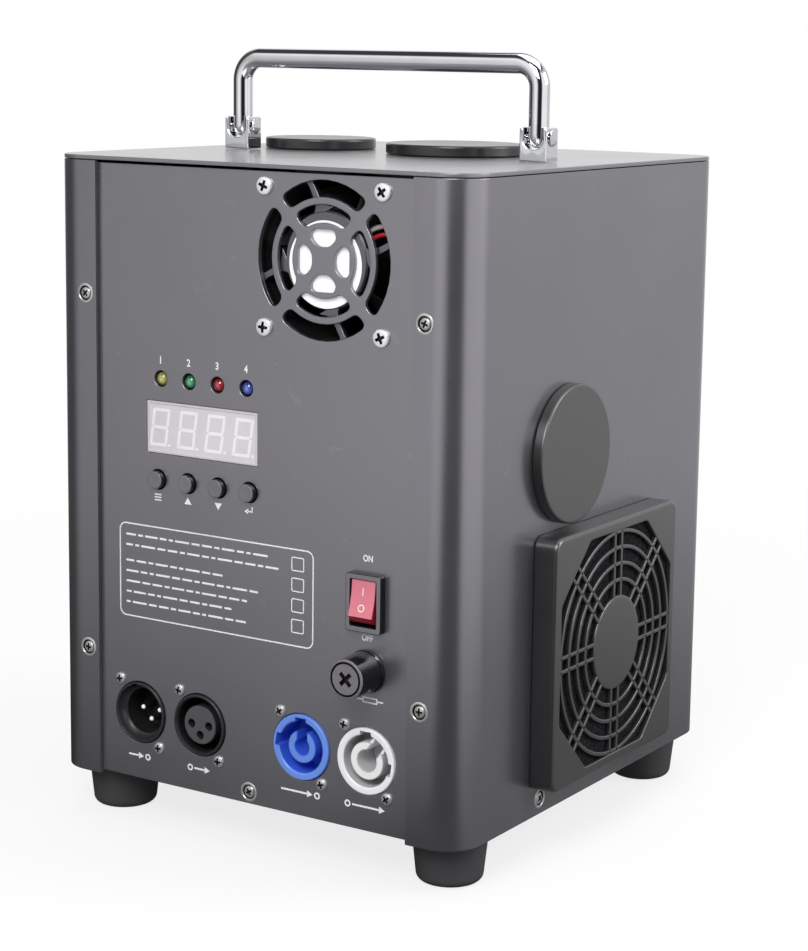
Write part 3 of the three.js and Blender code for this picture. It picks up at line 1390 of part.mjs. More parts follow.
function mainBoard() {
  const plate = box(mainBoardLength, mainBoardHeight, boardThickness,
    0, mainBoardHeight / 2, mainBoardStandoff);
  const pieces = [plate];
  const sunk = mainBoardStandoff + boardThickness / 2;
  for (const [along, up, width, height, rise] of boardPartShares) {
    pieces.push(box(width * mainBoardLength, height * mainBoardHeight,
      rise * tallestPart + boardThickness / 2, along * mainBoardLength, up * mainBoardHeight, sunk));
  }
  for (const end of [-1, 1]) {
    const x = end * (mainBoardLength / 2 - studInset);
    for (const y of [studInset, mainBoardHeight - studInset]) {
      pieces.push(rod(studRadius, sunk - seat, studSides, x, y, seat));
    }
  }
  return sideways(joined(...pieces));
}
addPart(housing, 'main_board', mainBoard(), boardGreen, -halfWidth + sheet, mainBoardY, mainBoardZ);

// The machine stands on Z = 0 with the middle of its overall box over the origin
const proudRight = guardDepth + seat;
const proudFront = fuseCapProud + 2 * seat + fuseFlangeHeight - sheet - seat;
machine.position.set(-proudRight / 2, proudFront / 2, footDrop);

export default machine;
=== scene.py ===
# Cold spark machine: folded steel case, control panel, filtered side fan, caps and a folding chrome handle.
# Pieces are drawn in millimetres on the face that carries them, then placed in metres on the loaded frame.
from math import asin, atan, atan2, cos, pi, radians, sin, sqrt, tan

import bmesh
import bpy
from mathutils import Matrix, Vector


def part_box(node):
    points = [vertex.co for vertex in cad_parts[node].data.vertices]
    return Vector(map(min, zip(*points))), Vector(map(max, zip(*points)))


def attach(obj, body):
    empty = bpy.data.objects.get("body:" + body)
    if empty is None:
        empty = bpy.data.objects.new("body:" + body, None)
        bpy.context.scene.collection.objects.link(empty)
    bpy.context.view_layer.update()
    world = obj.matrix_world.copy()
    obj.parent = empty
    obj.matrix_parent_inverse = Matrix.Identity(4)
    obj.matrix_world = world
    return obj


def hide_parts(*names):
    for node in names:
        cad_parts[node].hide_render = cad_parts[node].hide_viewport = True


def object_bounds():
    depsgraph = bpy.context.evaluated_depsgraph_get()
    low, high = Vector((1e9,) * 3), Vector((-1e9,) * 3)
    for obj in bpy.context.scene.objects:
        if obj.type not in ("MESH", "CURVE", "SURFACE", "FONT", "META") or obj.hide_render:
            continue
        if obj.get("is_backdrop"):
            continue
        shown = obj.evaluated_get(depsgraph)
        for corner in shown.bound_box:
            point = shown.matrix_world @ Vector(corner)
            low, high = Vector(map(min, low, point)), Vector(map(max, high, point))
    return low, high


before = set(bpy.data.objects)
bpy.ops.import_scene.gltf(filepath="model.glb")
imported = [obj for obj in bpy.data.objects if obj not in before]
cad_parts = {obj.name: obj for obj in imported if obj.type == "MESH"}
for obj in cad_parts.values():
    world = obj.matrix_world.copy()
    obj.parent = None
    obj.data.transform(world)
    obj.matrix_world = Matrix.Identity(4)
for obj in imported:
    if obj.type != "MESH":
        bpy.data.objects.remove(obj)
cadBounds = [list(corner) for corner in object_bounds()]

mm = 0.001
tau = 2 * pi


def shift(x=0.0, y=0.0, z=0.0):
    return Matrix.Translation((x, y, z))


def spin(angle, axis):
    return Matrix.Rotation(angle, 4, axis)


def facingFront(x=0.0, y=0.0, z=0.0):  # x, up and out of a face that looks to the front
    return Matrix(((1, 0, 0, x), (0, 0, -1, y), (0, 1, 0, z), (0, 0, 0, 1)))


def facingRight(x=0.0, y=0.0, z=0.0):  # y, up and out of a face that looks to the right
    return Matrix(((0, 0, 1, x), (1, 0, 0, y), (0, 1, 0, z), (0, 0, 0, 1)))


# Faces of the case, as matrices in millimetres

def boxOf(node):
    low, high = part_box(node)
    return [v / mm for v in low], [v / mm for v in high]


shellLow, shellHigh = boxOf("wrap_shell")
frontY = boxOf("control_panel")[0][1]
topZ = boxOf("top_plate")[1][2]
caseX = (shellLow[0] + shellHigh[0]) / 2
caseY = (shellLow[1] + shellHigh[1]) / 2
caseZ = shellLow[2]
housingFace = shift(caseX, caseY, caseZ)
topFace = shift(caseX, caseY, topZ)
frontFace = facingFront(caseX, frontY, caseZ)
sideFace = facingRight(shellHigh[0], caseY, caseZ)


# Shader maths and finishes

class Flow:  # a socket that sums can be written with
    def __init__(self, owner, socket):
        self.owner, self.socket = owner, socket

    def combine(self, operation, first, second):
        return self.owner.add("ShaderNodeMath", {"operation": operation}, {0: first, 1: second})

    def __add__(self, other):
        return self.combine("ADD", self, other)

    def __sub__(self, other):
        return self.combine("SUBTRACT", self, other)

    def __rsub__(self, other):
        return self.combine("SUBTRACT", other, self)

    def __mul__(self, other):
        return self.combine("MULTIPLY", self, other)

    def __truediv__(self, other):
        return self.combine("DIVIDE", self, other)

    def above(self, other):
        return self.combine("GREATER_THAN", self, other)

    __radd__ = __add__
    __rmul__ = __mul__


class NodeTree:  # adds a node by its type, settings, and values or links of its sockets
    def add(self, kind, settings=None, values=None, output=0):
        node = self.tree.nodes.new(kind)
        for key, value in (settings or {}).items():
            if key == "stops":
                for i, (place, shade) in enumerate(value):
                    stop = node.color_ramp.elements[i] if i < 2 else node.color_ramp.elements.new(place)
                    stop.position, stop.color = place, shade
            else:
                setattr(node, key, value)
        for key, value in (values or {}).items():
            self.feed(node.inputs[key], value)
        return Flow(self, node.outputs[output])

    def feed(self, socket, value):
        if isinstance(value, Flow):
            self.tree.links.new(value.socket, socket)
        else:
            socket.default_value = value

    def merge(self, share, first, second, blend="MIX"):
        settings = {"data_type": "RGBA", "blend_type": blend}
        return self.add("ShaderNodeMix", settings, {0: share, 6: first, 7: second}, 2)

    def greys(self, value, *stops):
        settings = {"stops": [(place, (v, v, v, 1)) for place, v in stops]}
        return self.add("ShaderNodeValToRGB", settings, {"Fac": value})

    def place(self):
        return self.add("ShaderNodeTexCoord", output="Object")

    def vectors(self, operation, first, second=(0.0, 0.0, 0.0), output="Vector"):
        return self.add("ShaderNodeVectorMath", {"operation": operation}, {0: first, 1: second}, output)


def tone(red, green=None, blue=None):
    values = (red, red if green is None else green, red if blue is None else blue)
    linear = [v / 255 / 12.92 if v <= 10.3 else ((v / 255 + 0.055) / 1.055) ** 2.4 for v in values]
    return (*linear, 1.0)


class Finish(NodeTree):
    def __init__(self, name, colour, roughness=0.5, metallic=0.0, **constants):
        self.material = bpy.data.materials.new(name)
        self.material.use_nodes = True
        self.tree = self.material.node_tree
        self.shader = self.tree.nodes["Principled BSDF"]
        self.colour = colour
        self.material.diffuse_color = colour
        self.set("Base Color", colour)
        self.set("Roughness", roughness)
        self.set("Metallic", metallic)
        for key, value in constants.items():
            self.set(key.replace("_", " "), value)

    def set(self, label, value):
        self.feed(self.shader.inputs[label], value)

    def noise(self, size, detail=3.0, stretch=None):
        place = self.place()
        if stretch:
            place = self.add("ShaderNodeMapping", None, {"Vector": place, "Scale": stretch})
        return self.add("ShaderNodeTexNoise", None, {"Vector": place, "Scale": 1 / (size * mm), "Detail": detail})

    def tint(self, share, first, second):
        self.set("Base Color", self.merge(share, first, second))

    def relief(self, height, depth, strength=1.0):
        values = {"Height": height, "Distance": depth * mm, "Strength": strength}
        self.set("Normal", self.add("ShaderNodeBump", None, values))


def shaded(colour, factor):
    return (*(min(1.0, channel * factor) for channel in colour[:3]), 1.0)


def powderCoat(name, colour, roughness=0.42, **constants):
    finish = Finish(name, colour, roughness, 0.4, **constants)
    cloud = finish.noise(38, 4)
    grain = finish.noise(0.62, 2)
    scuff = finish.noise(7, 6).above(0.685)
    base = finish.merge(cloud, shaded(colour, 0.95), shaded(colour, 1.05))
    base = finish.merge(grain * 0.10, base, shaded(colour, 1.5))
    finish.tint(scuff * 0.12, base, shaded(colour, 1.45))
    finish.set("Roughness", roughness - 0.05 + cloud * 0.10 - scuff * 0.06)
    finish.relief(grain + cloud * 0.4, 0.022, 0.55)
    return finish


def moulded(name, colour, roughness=0.4, grain=0.35, depth=0.012, **constants):
    finish = Finish(name, colour, roughness, **constants)
    cloud = finish.noise(16, 4)
    skin = finish.noise(grain, 2)
    finish.tint(cloud, shaded(colour, 0.88), shaded(colour, 1.12))
    finish.set("Roughness", roughness - 0.05 + cloud * 0.10 + skin * 0.03)
    finish.relief(skin, depth, 0.5)
    return finish


def metal(name, colour, roughness=0.25, stretch=None, **constants):
    finish = Finish(name, colour, roughness, 1.0, **constants)
    cloud = finish.noise(9, 5)
    streak = finish.noise(0.5, 3, stretch)
    finish.tint(cloud, shaded(colour, 0.9), colour)
    finish.set("Roughness", roughness - 0.03 + cloud * 0.05 + streak * 0.05)
    finish.relief(streak, 0.004, 0.4)
    return finish


def chromePlate(name):
    finish = Finish(name, tone(232, 233, 236), 0.05, 1.0)
    haze = finish.noise(11, 5)
    finish.tint(haze, tone(222, 223, 227), tone(240, 241, 243))
    finish.set("Roughness", 0.035 + haze * 0.05)
    finish.relief(finish.noise(2.6, 3), 0.003, 0.25)
    return finish


def foamRubber(name, colour):
    finish = Finish(name, colour, 1.0, Specular_IOR_Level=0.15)
    values = {"Vector": finish.place(), "Scale": 1 / (1.15 * mm), "Randomness": 1.0}
    pores = finish.add("ShaderNodeTexVoronoi", {"feature": "DISTANCE_TO_EDGE"}, values)
    walls = 1 - finish.greys(pores, (0.0, 0.0), (0.28, 1.0))
    fluff = finish.noise(0.4, 3)
    # dark pores and light walls between them: painted shade in the pores, painted light on the walls, mixed with
    # random fluff
    finish.tint(walls * 0.75 + fluff * 0.25, shaded(colour, 0.25), shaded(colour, 2.6))
    finish.relief(walls + fluff * 0.4, 0.6, 1.0)
    return finish


def lampLens(name, colour, deep, highlightCentre):  # painted highlight and glow, brightest near a given centre, with painted shade round the rim
    finish = Finish(name, colour, 0.08, Coat_Weight=1.0, Coat_Roughness=0.03, Emission_Strength=0.16)
    offset = finish.vectors("SUBTRACT", finish.place(), highlightCentre)
    reach = finish.vectors("LENGTH", offset, output="Value") / (3.4 * mm)
    # painted highlight: full over the centre, falling to painted shade at the rim
    paintedHighlight = finish.greys(reach, (0.0, 1.0), (0.16, 0.5), (0.5, 0.1), (0.8, 0.0))
    cloud = finish.noise(1.2, 2)
    finish.tint(paintedHighlight * (0.85 + cloud * 0.15), deep, colour)
    pale = tuple(0.55 + 0.45 * channel for channel in colour[:3]) + (1.0,)
    # the emission paints a glowing highlight, pale over the centre and nearly black at the rim
    finish.set("Emission Color", finish.merge(paintedHighlight * 0.9, shaded(deep, 0.2), finish.merge(paintedHighlight, colour, pale)))
    return finish


def circuitBoard(name):
    finish = Finish(name, tone(24, 78, 46), 0.42)
    values = {"Vector": finish.place(), "Scale": 1 / (4.2 * mm), "Randomness": 0.6}
    tracks = finish.add("ShaderNodeTexVoronoi", {"feature": "DISTANCE_TO_EDGE"}, values)
    line = 1 - finish.greys(tracks, (0.03, 0.0), (0.06, 1.0))
    finish.tint(line * 0.6, tone(20, 66, 40), tone(52, 120, 72))
    finish.relief(line, 0.03, 0.6)
    return finish


shellCoat = powderCoat("shellCoat", tone(146, 144, 150), 0.26, Metallic=0.85)
panelCoat = powderCoat("panelCoat", tone(150, 148, 154), 0.32, Metallic=0.85)
plateCoat = powderCoat("plateCoat", tone(128, 126, 131), 0.3, Specular_IOR_Level=1.0, Coat_Weight=0.35,
                       Coat_Roughness=0.12)
blackCap = moulded("blackCap", tone(34, 34, 36), 0.24, 0.6, 0.012, Specular_IOR_Level=0.7)
blackGloss = moulded("blackGloss", tone(26, 26, 28), 0.16, 0.5, 0.004, Coat_Weight=0.4, Coat_Roughness=0.08)
blackDull = moulded("blackDull", tone(30, 30, 32), 0.5, 0.4, 0.015)
# grey painted sheen on black plastic: the switch bezel's front and the fuse cap's top
sheenGrey = moulded("sheenGrey", tone(120, 116, 122), 0.34, 0.4, 0.01)
guardPlastic = moulded("guardPlastic", tone(38, 38, 40), 0.34, 0.5, 0.015, Specular_IOR_Level=1.0, Coat_Weight=0.9,
                       Coat_Roughness=0.28)
portPlastic = moulded("portPlastic", tone(26, 26, 28), 0.38, 0.5, 0.015, Specular_IOR_Level=1.0, Coat_Weight=0.9,
                      Coat_Roughness=0.3)
footRubber = moulded("footRubber", tone(68, 68, 70), 0.6, 0.7, 0.03)
# near-black painted shade for the insides of sockets, the holes of the signal outlet and the fuse cap's groove and
# slot
hollowShade = moulded("hollowShade", tone(12, 12, 13), 0.7)
filterFoam = foamRubber("filterFoam", tone(30, 29, 33))
chrome = chromePlate("chrome")
screwSteel = moulded("screwSteel", tone(206, 205, 204), 0.28, 0.5, 0.003, Metallic=0.65)
# near-black painted shade for recesses: screw crosses and slots, screw seats and the hole behind the bottom screw
recessShade = moulded("recessShade", tone(16, 16, 18), 0.6)
screwBright = moulded("screwBright", tone(240, 240, 242), 0.3, 0.5, 0.003, Metallic=0.3)
castAlloy = metal("castAlloy", tone(128, 129, 133), 0.42)
steelDull = metal("steelDull", tone(150, 150, 154), 0.4, (1, 1, 0.05))
# the white label also glows a little: painted light
fanLabel = moulded("fanLabel", tone(250, 250, 251), 0.3, 0.5, 0.004, Emission_Color=tone(250), Emission_Strength=0.2)
displayFace = moulded("displayFace", tone(220, 216, 221), 0.3, 0.5, 0.004)
displayEdge = moulded("displayEdge", tone(210, 206, 210), 0.35, 0.5, 0.004)
digitWhite = moulded("digitWhite", tone(250, 249, 251), 0.25, 0.5, 0.003)
inkWhite = moulded("inkWhite", tone(250, 250, 251), 0.5, 0.3, 0.004)
# lit and shaded copies of the rocker's red: the first is the lit top, the second painted shade on its sides and
# underside
rockerRed = moulded("rockerRed", tone(225, 122, 139), 0.16, 0.5, 0.004, Coat_Weight=0.5, Coat_Roughness=0.06)
rockerShaded = moulded("rockerShaded", tone(146, 22, 36), 0.2, 0.5, 0.004)
# lit and shaded copies of the socket plastics: the bright ones for faces that catch the light, the darker ones
# painted shade on the well, hub sides and key notches
blueBright = moulded("blueBright", tone(108, 148, 234), 0.28, 0.4, 0.008)
blueShaded = moulded("blueShaded", tone(60, 104, 226), 0.4, 0.4, 0.01)
socketGrey = moulded("socketGrey", tone(254, 253, 253), 0.34, 0.4, 0.008)
greyShaded = moulded("greyShaded", tone(200, 199, 201), 0.45, 0.4, 0.01)
# the contacts glow a little: a painted glint
contactMetal = moulded("contactMetal", tone(240, 240, 238), 0.2, 0.5, 0.003, Metallic=0.3, Emission_Color=tone(250),
                        Emission_Strength=0.4)
insertGrey = moulded("insertGrey", tone(84, 82, 86), 0.36, 0.4, 0.01)
# grey painted sheen for the tops of the black buttons
buttonSheenGrey = moulded("buttonSheenGrey", tone(116, 114, 119), 0.36, 0.4, 0.01)
socketBlack = moulded("socketBlack", tone(46, 45, 48), 0.3, 0.4, 0.008)
board = circuitBoard("board")
redWire = moulded("redWire", tone(178, 30, 36), 0.35)
paleWire = moulded("paleWire", tone(196, 190, 184), 0.4)
fuseGlass = moulded("fuseGlass", tone(196, 202, 204), 0.08, 0.5, 0.002)
# for each lamp: the colour of its painted highlight, then the painted shade round its rim
lampColours = {
    "yellow": (tone(232, 228, 150), tone(122, 118, 56)),
    "green": (tone(120, 216, 160), tone(22, 84, 52)),
    "red": (tone(224, 66, 80), tone(108, 10, 22)),
    "blue": (tone(132, 152, 244), tone(28, 40, 118)),
}
print("finishes:", len(bpy.data.materials))


# Outlines are lists of (x, y), anticlockwise, in millimetres

def arc(x, y, radius, steps, start=0.0, turn=pi / 2, first=0):
    angles = [start + turn * i / steps for i in range(first, steps + 1)]
    return [(x + radius * cos(a), y + radius * sin(a)) for a in angles]


def circle(radius, steps=48, x=0.0, y=0.0, start=0.0):
    return arc(x, y, radius, steps, start, tau)[:-1]


def roundedBox(width, height, corner, x=0.0, y=0.0, steps=6):
    points = []
    for quarter, (sx, sy) in enumerate(((1, -1), (1, 1), (-1, 1), (-1, -1))):
        points += arc(x + sx * (width / 2 - corner), y + sy * (height / 2 - corner), corner, steps,
                      pi / 2 * (quarter - 1))
    return points


def softened(corners, cutBack, steps=5):  # each corner is rounded over that length
    points = []
    for i, corner in enumerate(corners):
        here, before = Vector(corner), Vector(corners[i - 1])
        after = Vector(corners[(i + 1) % len(corners)])
        start = here + (before - here).normalized() * cutBack
        end = here + (after - here).normalized() * cutBack
        for k in range(steps + 1):
            t = k / steps
            points.append(tuple(start * (1 - t) ** 2 + here * 2 * t * (1 - t) + end * t * t))
    return points


def cross(arm, half, tip):  # half widths at the root and at the tip of an arm
    points = [(half, half), (arm, tip), (arm, -tip)]
    for _ in range(3):
        points += [(y, -x) for x, y in points[-3:]]
    return points[::-1]


def turnedBy(points, angle, x=0.0, y=0.0):
    c, s = cos(angle), sin(angle)
    return [(x + c * px - s * py, y + s * px + c * py) for px, py in points]


def inset(points, distance):  # moves an anticlockwise outline inwards along its mitres
    moved = []
    for i, point in enumerate(points):
        here = Vector(point)
        into = (here - Vector(points[i - 1])).normalized()
        onward = (Vector(points[(i + 1) % len(points)]) - here).normalized()
        normal = Vector((-into.y - onward.y, into.x + onward.x))
        if normal.length < 1e-6:
            normal = Vector((-into.y, into.x))
        normal.normalize()
        stretch = max(0.35, normal.dot(Vector((-into.y, into.x))))
        moved.append(tuple(here + normal * (distance / stretch)))
    return moved


def at(points, height):
    return [(x, y, height) for x, y in points]


# Solids collect closed skins; a finish is a place in the piece's list of finishes

def of(finish, number):  # a finish is one number for all faces, or one for each row
    return finish[number] if isinstance(finish, (list, tuple)) else finish


class Solid:
    def __init__(self):
        self.mesh = bmesh.new()

    def face(self, corners, finish):
        made = self.mesh.faces.new(corners)
        made.material_index = finish
        return made

    def stack(self, rows, finish, ring=False):  # faces between rows, each a loop of points or a single one
        for k, (low, high) in enumerate(zip(rows, rows[1:] + rows[:1] if ring else rows[1:])):
            steps = max(len(low), len(high))
            for i in range(steps if steps > 1 else 0):
                j = (i + 1) % steps
                start = (low[i], low[j]) if len(low) > 1 else (low[0],)
                self.face(start + ((high[j], high[i]) if len(high) > 1 else (high[0],)), of(finish, k))

    def skin(self, rings, finish=0, ends=True, ring=False):
        rows = [[self.mesh.verts.new(point) for point in points] for points in rings]
        self.stack(rows, finish, ring)
        if ends and not ring:
            self.face(rows[0][::-1], of(finish, 0))
            self.face(rows[-1], of(finish, -1))
        return self

    def lathe(self, profile, finish=0, steps=48, x=0.0, y=0.0, ring=False):
        rows = []
        for radius, height in profile:
            if radius <= 0:
                rows.append([self.mesh.verts.new((x, y, height))])
            else:
                rows.append([self.mesh.verts.new((px, py, height)) for px, py in circle(radius, steps, x, y)])
        self.stack(rows, finish, ring)
        return self

    def disc(self, radius, low, high, finish=0, steps=32, x=0.0, y=0.0):
        return self.lathe([(0, low), (radius, low), (radius, high), (0, high)], finish, steps, x, y)

    def fill(self, loops, finish=0):  # flat faces between an outline and its holes
        edges = [self.mesh.edges.get((row[i], row[(i + 1) % len(row)])) for row in loops for i in range(len(row))]
        made = bmesh.ops.triangle_fill(self.mesh, use_beauty=True, use_dissolve=False, edges=edges)
        for item in made["geom"]:
            if isinstance(item, bmesh.types.BMFace):
                item.material_index = finish

    def paint(self, finish, test):
        for face in self.mesh.faces:
            if test(face):
                face.material_index = finish

    def prism(self, outlines, low, high, edge=0.0, finish=0, lowEdge=None, steps=3, sides=None):
        # the first outline is the rim and the others are holes; edges are rounded over `edge`
        lowEdge = edge if lowEdge is None else lowEdge
        sides = finish if sides is None else sides
        turns = [(sin(a), cos(a)) for a in [pi / 2 * k / steps for k in range(steps + 1)]]
        below = [(lowEdge * (1 - sine), low + lowEdge * (1 - cosine)) for sine, cosine in turns if lowEdge > 0]
        above = [(edge * (1 - cosine), high - edge * (1 - sine)) for sine, cosine in turns if edge > 0]
        levels = (below or [(0, low)]) + (above or [(0, high)])
        rings = []
        for number, outline in enumerate(outlines):
            sign = 1 if number == 0 else -1
            rows = [[self.mesh.verts.new(p) for p in at(inset(outline, sign * back), height)]
                    for back, height in levels]
            self.stack(rows, sides)
            rings.append((rows[0], rows[-1]))
        for end in (0, 1):
            self.fill([pair[end] for pair in rings], finish)
        return self

    def block(self, low, high, edge=0.2, finish=0):
        width, depth = high[0] - low[0], high[1] - low[1]
        outline = roundedBox(width, depth, max(edge, 0.05), low[0] + width / 2, low[1] + depth / 2, 2)
        return self.prism([outline], low[2], high[2], edge, finish)

    def tube(self, path, radius, finish=0, steps=12, shares=None):
        points = [Vector(p) for p in path]
        normal = None
        rings = []
        for i, point in enumerate(points):
            along = (points[min(i + 1, len(points) - 1)] - points[max(i - 1, 0)]).normalized()
            if normal is None:
                normal = along.orthogonal().normalized()
            normal = (normal - along * normal.dot(along)).normalized()
            other = along.cross(normal)
            reach = radius * (shares[i] if shares else 1)
            angles = [tau * k / steps for k in range(steps)]
            rings.append([point + (normal * cos(a) + other * sin(a)) * reach for a in angles])
        return self.skin(rings, finish)

    def join(self, other, matrix=None, finish=None):
        mesh = bpy.data.meshes.new("joining")
        other.mesh.to_mesh(mesh)
        if matrix is not None:
            mesh.transform(matrix)
        count = len(self.mesh.faces)
        self.mesh.from_mesh(mesh)
        if finish is not None:
            self.mesh.faces.ensure_lookup_table()
            for face in self.mesh.faces[count:]:
                face.material_index = finish
        bpy.data.meshes.remove(mesh)
        return self

    def outwards(self):
        bmesh.ops.recalc_face_normals(self.mesh, faces=self.mesh.faces[:])
        return self


def linked(name, data):
    thing = bpy.data.objects.new(name, data)
    bpy.context.scene.collection.objects.link(thing)
    return thing


def loose(solid, name="loose", finishes=()):
    mesh = bpy.data.meshes.new(name)
    solid.outwards().mesh.to_mesh(mesh)
    for number in range(6):
        mesh.materials.append(finishes[number].material if number < len(finishes) else None)
    return linked(name, mesh)


def evaluated(thing):
    bpy.context.view_layer.update()
    graph = bpy.context.evaluated_depsgraph_get()
    made = thing.evaluated_get(graph)
    return bpy.data.meshes.new_from_object(made, preserve_all_data_layers=True, depsgraph=graph)


def carve(solid, cutter):  # cut faces keep the cutter's finish number
    body, tool = loose(solid, "body"), loose(cutter, "tool")
    cut = body.modifiers.new("cut", "BOOLEAN")
    cut.operation, cut.solver, cut.object = "DIFFERENCE", "EXACT", tool
    mesh = evaluated(body)
    result = Solid()
    result.mesh.from_mesh(mesh)
    for thing in (body, tool):
        bpy.data.objects.remove(thing)
    return result


def makePiece(name, solid, face, finishes, nodes=(), body="housing", sharp=34):
    solid.outwards()
    mesh = bpy.data.meshes.new(name)
    solid.mesh.to_mesh(mesh)
    solid.mesh.free()
    mesh.transform(Matrix.Scale(mm, 4) @ face)
    for finish in finishes:
        mesh.materials.append(finish.material)
    mesh.shade_smooth()
    mesh.set_sharp_from_angle(angle=radians(sharp))
    thing = linked(name, mesh)
    weights = thing.modifiers.new("weights", "WEIGHTED_NORMAL")
    weights.keep_sharp = True
    settled = evaluated(thing)
    thing.modifiers.clear()
    thing.data = settled
    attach(thing, body)
    if nodes:
        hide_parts(*nodes)
    return thing


class Recipe(NodeTree):  # a Geometry Nodes tree with named sizes
    def __init__(self, name, **sizes):
        self.tree = bpy.data.node_groups.new(name, "GeometryNodeTree")
        interface = self.tree.interface
        interface.new_socket("Geometry", in_out="INPUT", socket_type="NodeSocketGeometry")
        interface.new_socket("Geometry", in_out="OUTPUT", socket_type="NodeSocketGeometry")
        kinds = {float: "NodeSocketFloat", int: "NodeSocketInt"}
        self.values, self.sources = {}, {}
        for label, value in sizes.items():
            socket = interface.new_socket(label, in_out="INPUT", socket_type=kinds[type(value)])
            self.values[socket.identifier] = value
        self.start = self.tree.nodes.new("NodeGroupInput")

    def size(self, label):
        return Flow(self, self.start.outputs[label])

    def vector(self, x=0.0, y=0.0, z=0.0):
        return self.add("ShaderNodeCombineXYZ", None, {0: x, 1: y, 2: z})

    def source(self, thing):
        self.sources[thing.name] = thing
        return self.add("GeometryNodeObjectInfo", {"transform_space": "ORIGINAL"}, {"Object": thing}, "Geometry")

    def line(self, count, start=(0.0, 0.0, 0.0), offset=(0.0, 0.0, 0.0)):
        values = {"Count": count, "Start Location": start, "Offset": offset}
        return self.add("GeometryNodeMeshLine", None, values)

    def scatter(self, points, thing, **more):
        source = thing if isinstance(thing, Flow) else self.source(thing)
        return self.add("GeometryNodeInstanceOnPoints", None, {"Points": points, "Instance": source, **more})

    def build(self, result, finish, points=((0, 0, 0),)):  # ends in Realize Instances and Set Material
        real = self.add("GeometryNodeRealizeInstances", None, {0: result})
        kept = self.add("GeometryNodeSetMaterial", None, {"Geometry": real, "Selection": False,
                                                           "Material": finish.material})
        end = self.tree.nodes.new("NodeGroupOutput")
        self.feed(end.inputs[0], kept)
        mesh = bpy.data.meshes.new("points")
        mesh.from_pydata([tuple(p) for p in points], [], [])
        thing = linked("points", mesh)
        maker = thing.modifiers.new("maker", "NODES")
        maker.node_group = self.tree
        for identifier, value in self.values.items():
            maker[identifier] = value
        made = evaluated(thing)
        solid = Solid()
        solid.mesh.from_mesh(made)
        for used in (thing, *self.sources.values()):
            bpy.data.objects.remove(used)
        return solid


# Case: wrapped shell with front returns, panel behind them, plate on top

caseSizes = {
    "width": 185.0, "depth": 191.0, "height": 234.5, "corner": 14.0, "sheet": 1.5, "returnEnd": 70.0,
    "fan": (-0.9, 58.2, 43.0), "port": (-25.6, 132.9, 20.5), "seamScrews": (49.3, 185.1), "seamX": 75.2,
    "sideScrew": (-39.7, 6.1), "flange": 11.0,
}


def shellOutline(width, depth, corner, sheet, returnEnd, steps=10):
    def run(radius, turns):
        path = []
        for quarter, sx, sy in turns:
            path += arc(sx * (width / 2 - corner), sy * (depth / 2 - corner), radius, steps, pi / 2 * quarter)
        return path
    turns = ((-1, 1, -1), (0, 1, 1), (1, -1, 1), (2, -1, -1))
    outer = [(returnEnd, -depth / 2)] + run(corner, turns) + [(-returnEnd, -depth / 2)]
    inner = [(returnEnd, sheet - depth / 2)] + run(corner - sheet, turns) + [(-returnEnd, sheet - depth / 2)]
    return outer + inner[::-1]


def dimple(radius, depth):  # round seat that a screw head sits in
    return [(0, -depth), (radius - 0.2, -depth), (radius, 0.2 - depth), (radius, 1.0), (0, 1.0)]


def makeShell():
    s = caseSizes
    body = Solid().prism([shellOutline(s["width"], s["depth"], s["corner"], s["sheet"], s["returnEnd"])],
                         0, s["height"], 0.3)
    frontWall, rightWall = facingFront(y=-s["depth"] / 2), facingRight(s["width"] / 2)
    tool = Solid()
    for y, z, radius in (s["fan"], s["port"]):
        drum = Solid().prism([circle(radius, 96, y, z)], -4, 2)
        tool.join(drum, rightWall)
    # the seats keep finish 1 once carved: painted shade round the screw heads
    seat = Solid().lathe(dimple(2.75, 0.9), 1, 32)
    for side in (-1, 1):
        for z in s["seamScrews"]:
            tool.join(seat, frontWall @ shift(side * s["seamX"], z, 0))
    tool.join(seat, rightWall @ shift(*s["sideScrew"], 0))
    body = carve(body, tool)
    z, half, run = s["height"] - s["sheet"], s["flange"] - s["sheet"] / 2, 2 * s["corner"] + 4
    middle = s["width"] / 2 - s["sheet"] / 2 - half / 2
    for side in (-1, 1):
        body.block((side * middle - half / 2, -(s["depth"] - run) / 2, z),
                   (side * middle + half / 2, (s["depth"] - run) / 2, z + s["sheet"]), 0.2)
    back = s["depth"] / 2 - s["sheet"] / 2
    body.block((-(s["width"] - run) / 2, back - half, z), ((s["width"] - run) / 2, back, z + s["sheet"]), 0.2)
    return makePiece("shell", body, housingFace, [shellCoat, recessShade], ["wrap_shell"])


makeShell()

panelSizes = {
    "half": 79.0, "low": 1.0, "high": 233.8, "sheet": 1.5, "fan": (31.7, 203.6), "window": (13.3, 19.7),
    "outerWindow": (22.2, 28.1), "bridge": 4.3, "soft": 2.7, "petal": ((4.85, 2.5), (8.0, 5.7), (11.0, 4.7)),
    "display": (-22.0, 137.5, 50.9, 19.6), "firstX": -40.8, "pitch": 13.06, "buttonPitch": 14.03,
    "lampZ": 155.7, "buttonZ": 117.9,
    "switch": (52.0, 84.9, 13.2, 19.4), "fuse": (52.0, 59.9), "socketZ": 27.0,
    "signalX": (-51.2, -22.85), "powerX": (23.85, 52.2), "bottomScrew": (0.0, 5.5),
    "lampHole": 3.0, "buttonHole": 3.75, "fuseHole": 6.3, "signalHole": 12.0, "powerHole": 12.5,
    "studs": [(x, z) for x in (-52.0, 8.0) for z in (110.0, 161.0)],
}
controlX = [panelSizes["firstX"] + i * panelSizes["pitch"] for i in range(4)]
buttonX = [sum(controlX) / 4 + (i - 1.5) * panelSizes["buttonPitch"] for i in range(4)]


